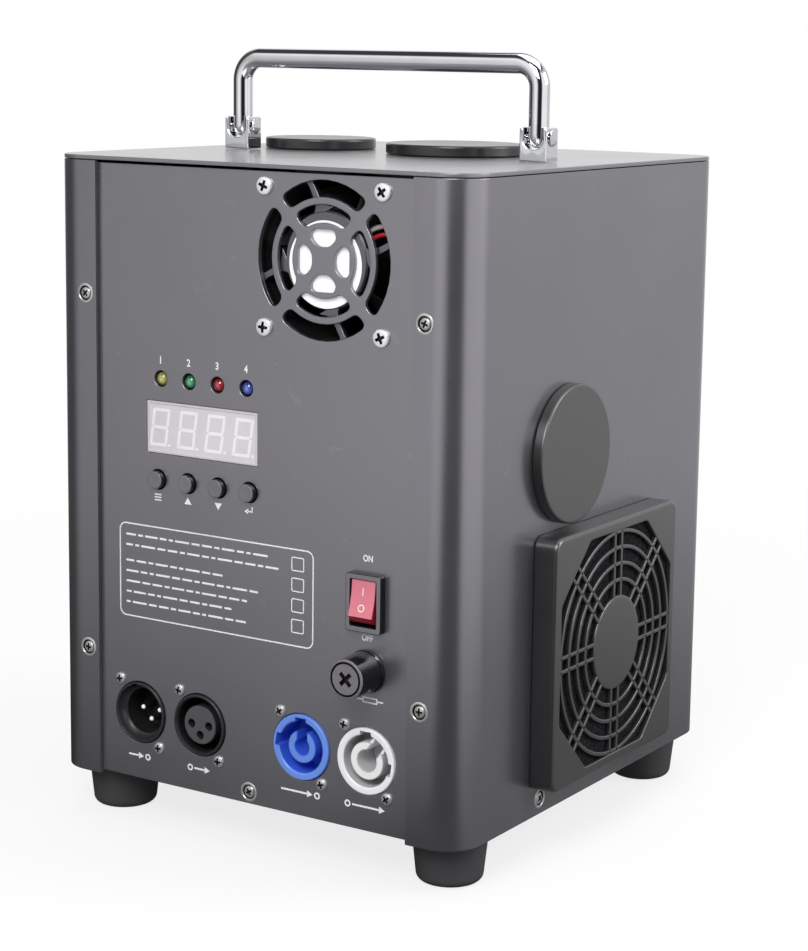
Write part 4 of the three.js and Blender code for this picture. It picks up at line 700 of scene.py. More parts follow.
def grilleWindow(inner, outer, bridge, soft, steps=9):
    def halfAngle(radius):
        return pi / 4 - asin(bridge / 2 / radius)
    soft = min(soft, (outer - inner) / 2.2)

    def polar(radius, angle):
        return Vector((radius * cos(angle), radius * sin(angle)))

    def bend(a, corner, b):
        return [tuple(a * (1 - t) ** 2 + corner * 2 * t * (1 - t) + b * t * t) for t in [k / 5 for k in range(6)]]

    points = []
    outerEnd, innerEnd = halfAngle(outer), halfAngle(inner)
    for turn in (1, -1):
        outerCorner, innerCorner = polar(outer, turn * outerEnd), polar(inner, turn * innerEnd)
        edge = (innerCorner - outerCorner).normalized() * soft
        if turn == 1:
            reach = outerEnd - soft / outer
            points += [tuple(polar(outer, -reach + 2 * reach * k / steps)) for k in range(steps)]
            points += bend(polar(outer, reach), outerCorner, outerCorner + edge)
            points += bend(innerCorner - edge, innerCorner, polar(inner, innerEnd - soft / inner))
        else:
            reach = innerEnd - soft / inner
            points += [tuple(polar(inner, reach - 2 * reach * k / steps)) for k in range(1, steps)]
            points += bend(polar(inner, -reach), innerCorner, innerCorner - edge)
            points += bend(outerCorner + edge, outerCorner, polar(outer, -(outerEnd - soft / outer)))[:-1]
    return points


def makePanel():
    s = panelSizes
    sheet = s["sheet"]
    middleZ = (s["low"] + s["high"]) / 2
    outlines = [roundedBox(2 * s["half"], s["high"] - s["low"], 0.6, 0, middleZ, 3)]
    petal = [(x, -y) for x, y in s["petal"]] + [(x, y) for x, y in reversed(s["petal"])]
    shapes = [grilleWindow(*s["window"], s["bridge"], s["soft"]),
              grilleWindow(*s["outerWindow"], s["bridge"], s["soft"]), softened(petal, 1.8)]
    for quarter in range(4):
        outlines += [turnedBy(shape, quarter * pi / 2, *s["fan"]) for shape in shapes]
    x, z, width, height = s["display"]
    outlines.append(roundedBox(width, height, 0.4, x, z, 3))
    outlines += [circle(s["lampHole"], 36, cx, s["lampZ"]) for cx in controlX]
    outlines += [circle(s["buttonHole"], 36, cx, s["buttonZ"]) for cx in buttonX]
    x, z, width, height = s["switch"]
    outlines.append(roundedBox(width, height, 0.5, x, z, 3))
    outlines.append(circle(s["fuseHole"], 40, *s["fuse"]))
    for kind in ("signal", "power"):
        outlines += [circle(s[kind + "Hole"], 64, cx, s["socketZ"]) for cx in s[kind + "X"]]
    outlines.append(circle(2.75, 32, *s["bottomScrew"]))
    body = Solid().prism(outlines, -sheet, 0, 0.32, 0, 0.0)
    for spot in s["studs"]:
        body.disc(2, -10.2, -1.2, 0, 16, *spot)
    # a dark disc behind the bottom screw's hole: painted shade
    body.disc(2.9, -1.4, -1.0, 1, 32, *s["bottomScrew"])
    return makePiece("panel", body, frontFace, [panelCoat, recessShade], ["control_panel"])


makePanel()

topSizes = {
    "outlet": (16.4, 17.0, 22.0), "hopper": (-50.2, 20.2, 17.5), "edge": 0.45, "sheet": 1.5,
    "outletCap": 27.3, "hopperCap": 22.3, "portCap": 25.6, "capHeight": 4.1, "seat": 0.3,
    "skirtGap": 0.4, "skirtDepth": 7.0, "grips": 6,
}


def makeTopPlate():
    s, c = topSizes, caseSizes
    outline = roundedBox(c["width"], c["depth"], c["corner"], 0, 0, 12)
    holes = [circle(r, 72, x, y) for x, y, r in (s["outlet"], s["hopper"])]
    body = Solid().prism([outline, *holes], -s["sheet"], 0, s["edge"], 0, 0.2)
    return makePiece("topPlate", body, topFace, [plateCoat], ["top_plate"])


makeTopPlate()


def capProfile(radius, skirt, height, seat, wall=1.6, soft=0.9):
    top, deep = seat + height, topSizes["skirtDepth"]
    points = [(0, top - 0.15), (radius * 0.7, top - 0.05), (radius - soft - 0.9, top)]
    points += arc(radius - soft, top - soft, soft, 5, pi / 2, -pi / 2)
    points += [(radius, seat + 0.35), (radius - 0.35, seat), (skirt, seat), (skirt, seat - deep + 0.6),
               (skirt - 0.6, seat - deep), (skirt - wall, seat - deep), (skirt - wall, seat + wall),
               (0, seat + wall)]
    return points


def makeCap(name, face, opening, radius, finish, body, node):
    s, (x, y, hole) = topSizes, opening
    skirt = hole - s["skirtGap"]
    cap = Solid().lathe(capProfile(radius, skirt, s["capHeight"], s["seat"]), 0, 96, x, y)
    for k in range(s["grips"]):  # grip ribs on the skirt
        rib = Solid().block((skirt - 0.5, -0.9, -6.2), (skirt + 0.25, 0.9, -1.2), 0.15)
        cap.join(rib, shift(x, y) @ spin(tau * k / s["grips"], "Z"))
    return makePiece(name, cap, face, [finish], [node], body)


makeCap("outletLid", topFace, topSizes["outlet"], topSizes["outletCap"], blackCap, "outlet_lid", "outlet_cap")
makeCap("hopperLid", topFace, topSizes["hopper"], topSizes["hopperCap"], blackCap, "hopper_lid", "hopper_cap")
makeCap("portLid", sideFace, caseSizes["port"], topSizes["portCap"], portPlastic, "port_lid", "side_port_cap")
print("case: shell, panel, plate and caps")

# Feet: tapered rubber with a screw and washer inside

footSizes = {"x": 75.5, "y": 74.0, "bore": 5.0, "rim": 14.0, "taper": 1.65, "wall": 15.3, "soft": (2.95, 3.0),
             "sole": -17.5}


def makeFoot(hand, end, x, y):
    s = footSizes
    rim, sole, (across, down) = s["rim"], s["sole"], s["soft"]
    profile = [(0, 1.2), (rim - 0.4, 1.2), (rim, 0.8)]
    profile += [(rim - s["taper"] * share, 0.8 - s["wall"] * share) for share in (0.25, 0.5, 0.75, 1.0)]
    profile += [(9.4 + across * px, sole + down + down * py) for px, py in arc(0, 0, 1, 6, 0, -pi / 2, 1)]
    profile += [(9.1, sole), (s["bore"] + 0.4, sole), (s["bore"], sole + 0.4), (s["bore"], -8.5), (0, -8.5)]
    foot = Solid().lathe(profile, 0, 64, x, y)
    foot.disc(4.4, -9.3, -8.4, 1, 32, x, y)
    foot.lathe([(0, -9.2), (2.9, -9.2), (2.9, -10.6), (2.3, -11.4), (1.2, -11.7), (0, -11.7)], 1, 32, x, y)
    # the slot across the screw head: painted shade
    foot.block((x - 2.0, y - 0.35, -11.76), (x + 2.0, y + 0.35, -11.5), 0.04, 2)
    return makePiece(f"foot{hand}{end}", foot, housingFace, [footRubber, screwSteel, recessShade],
                     [f"foot_{end.lower()}_{hand.lower()}"])


for end, signY in (("Front", -1), ("Back", 1)):
    for hand, signX in (("Left", -1), ("Right", 1)):
        makeFoot(hand, end, signX * footSizes["x"], signY * footSizes["y"])

# Handle: chrome bail between two clevis brackets on pins

handleSizes = {
    "y": -8.4, "half": 67.9, "pivot": 8.9, "rise": 27.0, "rod": 3.9, "bend": 8.8, "slot": 4.3,
    "bracket": 5.7, "shoulder": 1.15, "depth": 9.0, "height": 12.5, "pin": 1.8, "pinHead": 3.1,
}


def makeHandle():
    s = handleSizes
    half, bottom, upper, bend = s["half"], s["pivot"], s["pivot"] + s["rise"], s["bend"]
    path, shares = [], []
    for a in (0.46, 0.36, 0.22):  # rounded end below the pivot
        path.append((-half, s["y"], bottom - s["rod"] * sin(a * pi)))
        shares.append(cos(a * pi))
    path.append((-half, s["y"], bottom))
    path += [(x, s["y"], z) for x, z in arc(bend - half, upper - bend, bend, 16, pi, -pi / 2)]
    shares += [1.0] * 18
    path += [(-x, y, z) for x, y, z in reversed(path)]
    shares += shares[::-1]
    bail = Solid().tube(path, s["rod"], 0, 40, shares)
    drill = Solid()
    for side in (-1, 1):
        drill.join(Solid().disc(2.1, -9, 9, 0, 24), shift(side * half, s["y"], bottom) @ spin(pi / 2, "Y"))
    bail = carve(bail, drill)
    makePiece("handleBail", bail, topFace, [chrome], ["handle_bail"], "handle", 40)
    for side, hand in ((-1, "Left"), (1, "Right")):
        outer, slot, top, shoulder = s["bracket"], s["slot"], s["height"], s["shoulder"]
        outline = [(-outer, 0), (outer, 0)]
        outline += arc(outer - shoulder, top - shoulder, shoulder, 6)
        outline += [(slot + 0.25, top), (slot, top - 0.25)]
        outline += arc(0, s["pivot"] - 0.3, slot, 24, 0, -pi)
        outline += [(-slot, top - 0.25), (-slot - 0.25, top)]
        outline += arc(shoulder - outer, top - shoulder, shoulder, 6, pi / 2)
        clevis = Solid().prism([outline], -s["depth"] / 2, s["depth"] / 2, 0.55)
        across = Solid().join(Solid().disc(1.9, -8, 8, 0, 24), shift(0, 0, s["pivot"] - 0.3) @ spin(pi / 2, "Y"))
        bracket = carve(Solid().join(clevis, facingFront()), across)
        place = topFace @ shift(side * s["half"], s["y"], 0.3)
        makePiece(f"handleBracket{hand}", bracket, place, [chrome], [f"handle_bracket_{hand.lower()}"])
        shank, head, end = s["pin"], s["pinHead"], outer + 0.1
        profile = [(shank, end), (head, end), (head, end + 0.25), (head * 0.9, end + 0.65), (head * 0.6, end + 0.9),
                   (0, end + 0.9)]
        profile = [(radius, -z) for radius, z in reversed(profile)] + profile
        pin = Solid().join(Solid().lathe(profile, 0, 40), spin(pi / 2, "Y"))
        place = topFace @ shift(side * s["half"], s["y"], s["pivot"])
        makePiece(f"handlePin{hand}", pin, place, [chrome], [f"handle_pin_{hand.lower()}"])


makeHandle()
print("feet and handle")

# Fans: two square flanges on a duct, struts, motor hub, twisted blades

fanSizes = {
    "front": {"face": frontFace, "x": 31.7, "y": 203.6, "size": 60.0, "depth": 25.0, "z": -1.8},
    "side": {"face": sideFace, "x": -0.9, "y": 58.2, "size": 92.0, "depth": 25.0, "z": -1.8},
    "flange": 3.5, "corner": 3.0, "wall": 1.8, "strut": 2.6, "strutWidth": 2.3, "strutTurns": (0.067, 0.172),
    "strutWeb": 0.095, "hub": 0.29, "label": 15.4, "screwHole": 2.1,
    "blades": 7, "bladeThickness": 1.0, "hubGap": 0.8,
}


def makeFanFrame(which, alloy, label, node):
    s, f = fanSizes, fanSizes[which]
    size, depth, x, y, z = f["size"], f["depth"], f["x"], f["y"], f["z"]
    bore, hub = size / 2 - s["wall"], s["hub"] * size
    holeAt = size / 2 - size / 12
    flange = [roundedBox(size, size, s["corner"], x, y, 5), circle(bore, 96, x, y)]
    for sx, sy in ((-1, -1), (1, -1), (1, 1), (-1, 1)):
        flange.append(circle(s["screwHole"], 20, x + sx * holeAt, y + sy * holeAt))
    body = Solid().prism(flange, z - s["flange"], z, 0.3)
    body.prism(flange, z - depth, z - depth + s["flange"], 0.3)
    duct, top, bottom = size / 2 - 0.1, z - 1, z - depth + 1
    body.lathe([(duct, bottom), (duct, top), (bore, top), (bore, bottom)], 0, 96, x, y, ring=True)
    body.lathe([(0, z - s["strut"]), (hub, z - s["strut"]), (hub, z - 0.6), (hub - 0.6, z), (0, z)], 0, 72, x, y)
    for i in range(4):
        rootTurn, tipTurn = (tau * (i + share) / 4 for share in s["strutTurns"])
        root = Vector((cos(rootTurn), sin(rootTurn))) * (hub - 1.0)
        run = Vector((cos(tipTurn), sin(tipTurn))) * (bore + 0.6) - root
        wide, narrow, end = s["strutWeb"] * size, s["strutWidth"] / 2, run.length
        lower = [(0, -wide), (1.2, -wide * 0.72), (2.6, -wide * 0.42), (4.8, -narrow * 1.1), (end - 2, -narrow),
                 (end, -narrow * 1.6)]
        outline = lower + [(px, -py) for px, py in reversed(lower)]
        turned = turnedBy(outline, atan2(run.y, run.x), x + root.x, y + root.y)
        body.prism([turned], z - s["strut"], z - 0.3, 0.35)
    if label:
        rim = s["label"]
        sticker = [(0, z - 0.05), (rim, z - 0.05), (rim, z + 0.12), (rim - 0.15, z + 0.16), (0, z + 0.16)]
        body.lathe(sticker, 1, 72, x - 0.2, y - 1.4)
    back = z - s["strut"]
    body.disc(1.5, back - 3.9, back + 0.2, 0, 16, x, y)
    return makePiece(which + "FanFrame", body, f["face"], [alloy, fanLabel], [node])


def makeFanRotor(which, plastic, node, body):
    s, f = fanSizes, fanSizes[which]
    size, x, y = f["size"], f["x"], f["y"]
    depth = f["depth"] - s["strut"] - s["hubGap"] - s["flange"] / 2
    start = f["z"] - s["strut"] - s["hubGap"] / 2
    hub, tip = s["hub"] * size, (size / 2 - s["wall"]) * cos(pi / 16) - 0.6
    blade, rings = Solid(), []
    spread = depth * 0.42 / 2 / tan(0.6) + 2.5
    reachTip = sqrt(tip ** 2 - spread ** 2)
    for k in range(9):
        t = k / 8
        radius = hub - 1.1 + (reachTip - hub + 1.1) * t
        pitch = 0.95 - 0.35 * t
        reach = depth * (0.62 - 0.2 * t) / 2 / sin(pitch)
        along, across = Vector((0, cos(pitch), sin(pitch))), Vector((0, -sin(pitch), cos(pitch)))
        middle = Vector((radius, 2.5 * t * t, 0))
        section = []
        for i in range(20):  # cambered section with rounded edges
            a = tau * i / 20
            u, v = cos(a), sin(a)
            camber = 0.7 * (1 - u * u) - 0.35
            section.append(middle + along * u * reach + across * (v * s["bladeThickness"] / 2 + camber))
        rings.append(section)
    blade.skin(rings)
    source = loose(blade, "bladeSource")
    recipe = Recipe(which + "Blades", Blades=s["blades"], Depth=-depth / 2)
    line = recipe.line(recipe.size("Blades"), recipe.vector(z=recipe.size("Depth")))
    index = recipe.add("GeometryNodeInputIndex")
    turn = recipe.vector(z=index * tau / recipe.size("Blades"))
    blades = recipe.build(recipe.scatter(line, source, Rotation=turn), plastic)
    rotor = Solid().join(blades, shift(x, y, start))
    rotor.lathe([(1.9, start), (hub - 0.5, start), (hub, start - 0.5), (hub, start - depth + 1.2),
                 (hub - 1.2, start - depth), (0, start - depth), (0, start - depth + 1.75),
                 (1.9, start - depth + 1.75)], 0, 72, x, y, ring=True)
    return makePiece(which + "FanRotor", rotor, f["face"], [plastic], [node], body)


makeFanFrame("front", castAlloy, True, "front_fan_frame")
makeFanRotor("front", blackDull, "front_fan_rotor", "front_rotor")
makeFanFrame("side", blackDull, False, "side_fan_frame")
makeFanRotor("side", blackDull, "side_fan_rotor", "side_rotor")
print("fans")

# Filter guard: rounded cover with an eight-sided opening, rings, paired ribs, hub, foam behind

guardSizes = {
    "y": -0.9, "z": 58.2, "size": 94.4, "corner": 4.5, "low": 0.3, "high": 9.9, "wall": 1.8, "face": 1.8,
    "round": 1.5, "opening": 42.9, "flat": 22.3, "hub": 17.9, "rings": (24.6, 30.8, 37.0, 43.1), "line": 1.5,
    "spacing": 5.2, "directions": 8, "reach": 46.4, "barTop": 9.6, "barHeight": 1.5,
    "foamLow": 2.6, "foamHigh": 7.8,
}


def roundBar(width, height, soft=0.38, steps=3):  # section of a rib, with its upper edges rounded
    points = [(-width / 2, 0), (width / 2, 0)]
    for side, start in ((1, 0.0), (-1, pi / 2)):
        points += arc(side * (width / 2 - soft), height - soft, soft, steps, start)
    return points


def makeGuard():
    s = guardSizes
    low, high, face, soft = s["low"], s["high"], s["face"], s["round"]
    outer = roundedBox(s["size"], s["size"], s["corner"], 0, 0, 10)
    corners = []
    for quarter in range(4):
        corners += turnedBy([(s["opening"], -s["flat"]), (s["opening"], s["flat"])], quarter * pi / 2)
    opening = softened(corners, 1.6, 4)
    cavity = roundedBox(s["size"] - 2 * s["wall"], s["size"] - 2 * s["wall"], s["corner"] - s["wall"], 0, 0, 10)
    cover = Solid()
    rims = []
    for k in range(7):
        a = pi / 2 * k / 6
        rims.append(at(inset(outer, soft * (1 - cos(a))), high - soft * (1 - sin(a))))
    outerRows = [at(inset(outer, 0.3), low), at(outer, low + 0.3), *rims]
    openRows = []
    for k in range(4):
        a = pi / 2 * k / 3
        openRows.append(at(inset(opening, -0.5 * (1 - sin(a))), high - 0.5 * (1 - cos(a))))
    openRows.append(at(opening, high - face))
    cavityRows = [at(cavity, high - face), at(cavity, low)]
    made = []
    for rows in (outerRows, openRows, cavityRows):
        verts = [[cover.mesh.verts.new(p) for p in row] for row in rows]
        cover.stack(verts, 0)
        made.append((verts[0], verts[-1]))
    for first, second in ((made[0][1], made[1][0]), (made[1][1], made[2][0]), (made[2][1], made[0][0])):
        cover.fill((first, second))
    hub = s["hub"]
    hubProfile = [(0, high - face), (hub - 0.2, high - face), (hub, high - face + 0.2), (hub, high - 0.8)]
    hubProfile += arc(hub - 0.6, high - 0.8, 0.6, 4, first=1)
    cover.lathe(hubProfile + [(hub - 2.2, high - 0.1), (0, high)], 0, 96)
    for radius in s["rings"]:
        section = roundBar(s["line"], s["barHeight"])
        base = s["barTop"] - s["barHeight"]
        cover.lathe([(radius - s["line"] / 2 + px, base + pz) for px, pz in section], 0, 96, ring=True)
    rib = Solid()
    length = s["reach"] - hub + 0.6
    section = roundBar(s["line"], s["barHeight"])
    rib.skin([[(hub - 0.6 + length * k, px, pz) for px, pz in section] for k in (0, 1)])
    source = loose(rib, "ribSource")
    recipe = Recipe("guardRibs", Directions=s["directions"], Spacing=s["spacing"],
                    Height=s["barTop"] - s["barHeight"])
    count = recipe.size("Directions")
    index = recipe.add("GeometryNodeInputIndex")
    pair = index.combine("FLOOR", index / 2, 0.0)
    hand = (index - pair * 2) * 2 - 1
    angle = pair * tau / count
    apart = hand * recipe.size("Spacing") / 2
    x = 0.0 - angle.combine("SINE", angle, 0.0) * apart
    y = angle.combine("COSINE", angle, 0.0) * apart
    spots = recipe.add("GeometryNodeSetPosition", None,
                       {"Geometry": recipe.line(2 * count), "Position": recipe.vector(x, y, recipe.size("Height"))})
    placed = recipe.scatter(spots, source, Rotation=recipe.vector(z=angle))
    cover.join(recipe.build(placed, guardPlastic))
    place = sideFace @ shift(s["y"], s["z"], 0)
    makePiece("guardCover", cover, place, [guardPlastic], ["filter_cover"], "filter")
    size = s["size"] - 2 * (s["wall"] + 0.3)
    foam = Solid()
    outline = roundedBox(size, size, s["corner"] - s["wall"], 0, 0, 4)
    foam.prism([outline], s["foamLow"], s["foamHigh"], 0.5, 0, 0.3)
    makePiece("guardFoam", foam, place, [filterFoam], ["filter_foam"], "filter")


makeGuard()
print("filter guard")

# Display with its digits, lamps and buttons

displaySizes = {
    "x": -22.0, "z": 137.5, "width": 50.75, "height": 19.4, "face": -0.15, "back": -9.0, "border": 1.0,
    "digits": 4, "pitch": 12.75, "digitHeight": 14.2, "digitWidth": 8.1, "stroke": 1.2, "slant": 0.14,
    "split": 0.07, "point": 1.2, "pointGap": 1.2,
}


def makeDisplay():
    s = displaySizes
    face = s["face"]
    inner = (s["width"] - 2 * s["border"], s["height"] - 2 * s["border"], 0.3, 0, 0, 3)
    body = Solid().prism([roundedBox(s["width"], s["height"], 0.4, 0, 0, 3), roundedBox(*inner)], s["back"], face,
                         0.2, 1, 0.0)
    body.prism([roundedBox(inner[0] + 0.2, inner[1] + 0.2, 0.3, 0, 0, 3)], s["back"] + 0.5, face - 0.22, 0.0, 0)
    stroke, split = s["stroke"], s["split"]
    right, top, middle = s["digitWidth"] / 2, s["digitHeight"] / 2, stroke / 2
    inside, square = right - stroke, s["point"] / 2

    def segment(name, corners):
        return loose(Solid().prism([softened(corners, 0.12, 2)], 0, 0.1, 0.03, 2), name)
    topBar = segment("topBar", [(split - right, top), (split - inside, top - stroke), (inside - split, top - stroke),
                                (right - split, top)])
    tip, shoulder = right - middle - split, inside - split
    middleBar = segment("middleBar", [(-tip, 0), (-shoulder, -middle), (shoulder, -middle), (tip, 0),
                                      (shoulder, middle), (-shoulder, middle)])
    sideBar = segment("sideBar", [(right - middle, split), (right, split + middle), (right, top - split),
                                  (inside, top - stroke - split), (inside, split + middle)])
    point = segment("pointMark", [(-square, -square), (square, -square), (square, square), (-square, square)])
    recipe = Recipe("digits", Digits=s["digits"], Pitch=s["pitch"], PointX=right + s["pointGap"],
                    PointY=square - top)
    still = recipe.vector()
    parts = [(topBar, still, 1, 1), (topBar, still, 1, -1), (middleBar, still, 1, 1)]
    parts += [(sideBar, still, handX, handY) for handX in (-1, 1) for handY in (-1, 1)]
    parts.append((point, recipe.vector(recipe.size("PointX"), recipe.size("PointY")), 1, 1))
    join = recipe.tree.nodes.new("GeometryNodeJoinGeometry")
    for thing, where, handX, handY in parts:
        moved = recipe.add("GeometryNodeTransform", None,
                           {"Geometry": recipe.source(thing), "Translation": where, "Scale": (handX, handY, 1.0)})
        recipe.feed(join.inputs[0], moved)
    count, pitch = recipe.size("Digits"), recipe.size("Pitch")
    start = recipe.vector((count - 1) * pitch * -0.5)
    placed = recipe.scatter(recipe.line(count, start, recipe.vector(pitch)), Flow(recipe, join.outputs[0]))
    digits = recipe.build(placed, digitWhite)
    lean = Matrix(((1, s["slant"], 0, -0.35), (0, 1, 0, 0), (0, 0, 1, face - 0.24), (0, 0, 0, 1)))
    body.join(digits, lean, 2)
    place = frontFace @ shift(s["x"], s["z"], 0)
    makePiece("display", body, place, [displayFace, displayEdge, digitWhite], ["display_module"])


makeDisplay()

controlSizes = {"lamp": 2.7, "lampCrown": 0.5, "button": 3.4, "proud": 2.4, "lampBack": -10.2, "stemBack": -4.9}
lampSlots = ("lamp_yellow", "lamp_green", "lamp_red", "lamp_blue")


def makeLamp(number, hue):
    s, x, z = controlSizes, controlX[number], panelSizes["lampZ"]
    radius, crown = s["lamp"], s["lampCrown"]
    dome = [(0, s["lampBack"]), (2.9, s["lampBack"]), (2.9, s["lampBack"] + 1), (radius, s["lampBack"] + 1)]
    dome += arc(0, crown - radius, radius, 10)[:-1]
    lamp = Solid().lathe(dome + [(0, crown)], 0, 40, x, z)
    # the painted highlight sits a little right of and below the dome's middle, so the painted shade falls on the
    # upper left
    highlightCentre = Matrix.Scale(mm, 4) @ frontFace @ Vector((x + 0.55, z - 0.35, crown - 0.5))
    bright, deep = lampColours[hue]
    lens = lampLens(hue + "Lens", bright, deep, tuple(highlightCentre))
    makePiece(hue + "Lamp", lamp, frontFace, [lens], [f"lamp_{number + 1}"])


def makeButton(number):
    s, x, z = controlSizes, buttonX[number], panelSizes["buttonZ"]
    radius, top = s["button"], s["proud"]
    profile = [(0, s["stemBack"]), (2, s["stemBack"]), (2, -2.7), (radius, -2.7), (radius, top - 0.55)]
    profile += arc(radius - 0.55, top - 0.55, 0.55, 5, first=1)
    button = Solid().lathe(profile + [(radius * 0.55, top - 0.08), (0, top - 0.14)], 0, 48, x, z)
    # the tops take the grey: a painted sheen on the black plastic
    button.paint(1, lambda face: face.calc_center_median().z > top - 0.3)
    makePiece(f"button{number + 1}", button, frontFace, [blackGloss, buttonSheenGrey], [f"button_{number + 1}"],
              f"key_{number + 1}")


for number, (hue, slotName) in enumerate(zip(lampColours, lampSlots)):
    makeLamp(number, hue)
    makeButton(number)
print("display, lamps and buttons")

# Rocker switch, tipped to its upper mark

switchSizes = {
    "x": 52.0, "z": 84.9, "bezel": (15.0, 21.0), "body": (12.6, 18.8), "low": 0.3, "high": 3.1, "depth": -16.0,
    "well": (10.9, 8.34), "wellDepth": -8.0, "width": 10.2, "half": 7.6, "peak": 5.0, "hollow": 4.6,
    "bevel": (1.9, 2.6), "pivot": -1.0, "tilt": 0.21,
}


def makeSwitch():
    s = switchSizes
    width, height = s["bezel"]
    well = roundedBox(s["well"][0], 2 * s["well"][1], 0.25, 0, 0, 2)
    # the bezel's front and back take the grey painted sheen, its sides stay black
    body = Solid().prism([roundedBox(width, height, 1.2, 0, 0, 5), well], s["low"], s["high"], 0.28, 0, 0.1, 3, 1)
    body.prism([roundedBox(*s["body"], 0.4, 0, 0, 2), well], s["wellDepth"], s["low"] + 0.2, 0.0, 1)
    body.prism([roundedBox(*s["body"], 0.4, 0, 0, 2)], s["depth"], s["wellDepth"] + 0.01, 0.0, 1)
    for x in (-3.4, 3.4):  # blades of the terminals at the back
        body.block((x - 0.4, -5.5, s["depth"] - 0.01), (x + 0.4, -0.7, s["depth"] + 0.5), 0.1, 2)
    place = frontFace @ shift(s["x"], s["z"], 0)
    makePiece("switchBody", body, place, [sheenGrey, blackGloss, steelDull], ["switch_body"])
    half, peak, hollow, (back, drop) = s["half"], s["peak"], s["hollow"], s["bevel"]
    ridge = half - back
    top = []
    for k in range(25):
        up = half - (half + ridge) * k / 24
        top.append((up, hollow + (peak - hollow) * (up / ridge) ** 2))
    side = [(-half, 0.4), (-half + 0.4, 0.0), (0, -2.1), (half - 0.4, 0.0), (half, 0.4)] + top
    side.append((-half, peak - drop))
    key = Solid().prism([side], -s["width"] / 2, s["width"] / 2, 0.3, 0, None, 3)
    key = Solid().join(key, facingRight())  # the outline is (up, out) and its thickness runs along x
    # faces that don't look up get the darker red: painted shade
    key.outwards().paint(1, lambda face: abs(face.normal.x) > 0.9 or face.normal.z < 0.8)
    bar = Solid().block((-0.18, -1.5, 0), (0.18, 1.5, 0.1), 0.04)
    ringMark = Solid().prism([circle(1.35, 32), circle(0.98, 32)], 0, 0.1, 0.03)
    for mark, up in ((bar, 3.3), (ringMark, -2.5)):
        level = hollow + (peak - hollow) * (up / ridge) ** 2
        lean = atan(2 * (peak - hollow) * up / ridge ** 2)
        key.join(mark, shift(0, up, level + 0.01) @ spin(lean, "X"), 2)
    pressed = place @ shift(0, 0, s["pivot"]) @ spin(-s["tilt"], "X")
    makePiece("switchRocker", key, pressed, [rockerRed, rockerShaded, inkWhite], ["switch_rocker"],
              "rocker")


makeSwitch()

# Fuse holder and its screw cap

fuseSizes = {"x": 52.0, "z": 59.9, "barrel": 6.0, "flange": 7.9, "inner": 4.9, "cap": 7.15, "low": 2.2,
             "high": 13.5, "taper": 0.5, "groove": (0.8, 1.65, 0.8), "slot": (3.0, 0.8)}


def makeFuse():
    s = fuseSizes
    x, z, barrel, inner, flange = s["x"], s["z"], s["barrel"], s["inner"], s["flange"]
    profile = [(0, -30), (barrel, -30), (barrel, 0.3), (flange - 0.3, 0.3), (flange, 0.6), (flange, 1.5),
               (flange - 0.4, 1.9), (inner, 1.9), (inner, -28.9), (0, -28.9)]
    holder = Solid().lathe(profile, 0, 56, x, z)
    for k in range(3):  # thread of the lock nut behind the panel
        level = -4.2 - 1.1 * k
        holder.lathe([(barrel - 0.2, level - 0.4), (barrel + 0.12, level), (barrel - 0.2, level + 0.4)], 0, 56, x, z,
                     ring=True)
    makePiece("fuseHolder", holder, frontFace, [blackGloss], ["fuse_holder"])
    radius, low, high = s["cap"], s["low"], s["high"]
    foot = radius + s["taper"]
    profile = [(0, -2.4), (4.5, -2.4), (4.5, low), (foot - 0.3, low), (foot, low + 0.3), (radius, high - 0.7)]
    profile += arc(radius - 0.7, high - 0.7, 0.7, 5, first=1)
    near, far, deep = s["groove"]
    profile += [(radius - near, high), (radius - near - 0.04, high - deep), (radius - far + 0.04, high - deep),
                (radius - far, high)]
    cap = Solid().lathe(profile + [(0, high)], 0, 64)
    # the groove takes painted shade and the rest of the top the grey painted sheen
    for face in cap.mesh.faces:
        middle = face.calc_center_median()
        if middle.z > high - deep - 0.1 and radius - far < middle.xy.length < radius - near:
            face.material_index = 2
        elif middle.z > high - 0.5:
            face.material_index = 1
    arm, half = s["slot"]
    cap = carve(cap, Solid().prism([turnedBy(cross(arm, half, half), pi / 4)], high - 1.7, high + 1, 0.0, 2))
    place = frontFace @ shift(x, z, 0)
    makePiece("fuseCap", cap, place, [blackGloss, sheenGrey, hollowShade], ["fuse_cap"], "fuse_knob")


makeFuse()
print("switch and fuse")

# Sockets

socketSizes = {
    "z": 27.0, "proud": 0.9, "flange": (26.0, 31.0, 3.0), "flangeLow": -4.2, "flangeHigh": -1.8, "back": -22.0,
    "signal": 11.7, "cupDepth": -13.0, "pinCircle": 4.0, "pin": 1.1, "pinTip": 0.85, "insert": 7.5,
    "power": 12.2, "ring": 9.6, "wellDepth": -11.0, "hubTop": -0.1, "keyWidth": 4.8, "keyDepth": 1.4,
}


def socketShell(nose, cup, floor, rim, finish=0, inside=1):
    # outside of a socket with its mouth: flange behind the sheet, nose, rim and the cup's wall and floor; the cup's
    # wall and floor take the inside finish, which paints shade there
    s = socketSizes
    flange = [roundedBox(*s["flange"], 0, 0, 5), circle(nose - 0.3, 64)]
    body, top = Solid().prism(flange, s["flangeLow"], s["flangeHigh"], 0.3, finish), s["proud"]
    profile = [(0, s["back"]), (nose - 0.6, s["back"]), (nose, s["back"] + 0.6), (nose, top - 0.45)]
    profile += arc(nose - 0.45, top - 0.45, 0.45, 4, first=1)
    count = len(profile)
    profile += rim + [(cup, floor + 0.3), (cup - 0.3, floor), (0, floor)]
    shades = [finish] * (count + len(rim) - 1) + [inside] * 3
    body.lathe(profile, shades, 72)
    return body


def contactSpots():
    radius = socketSizes["pinCircle"]
    return [(-radius, 0.0), (0.0, -radius), (radius, 0.0)]


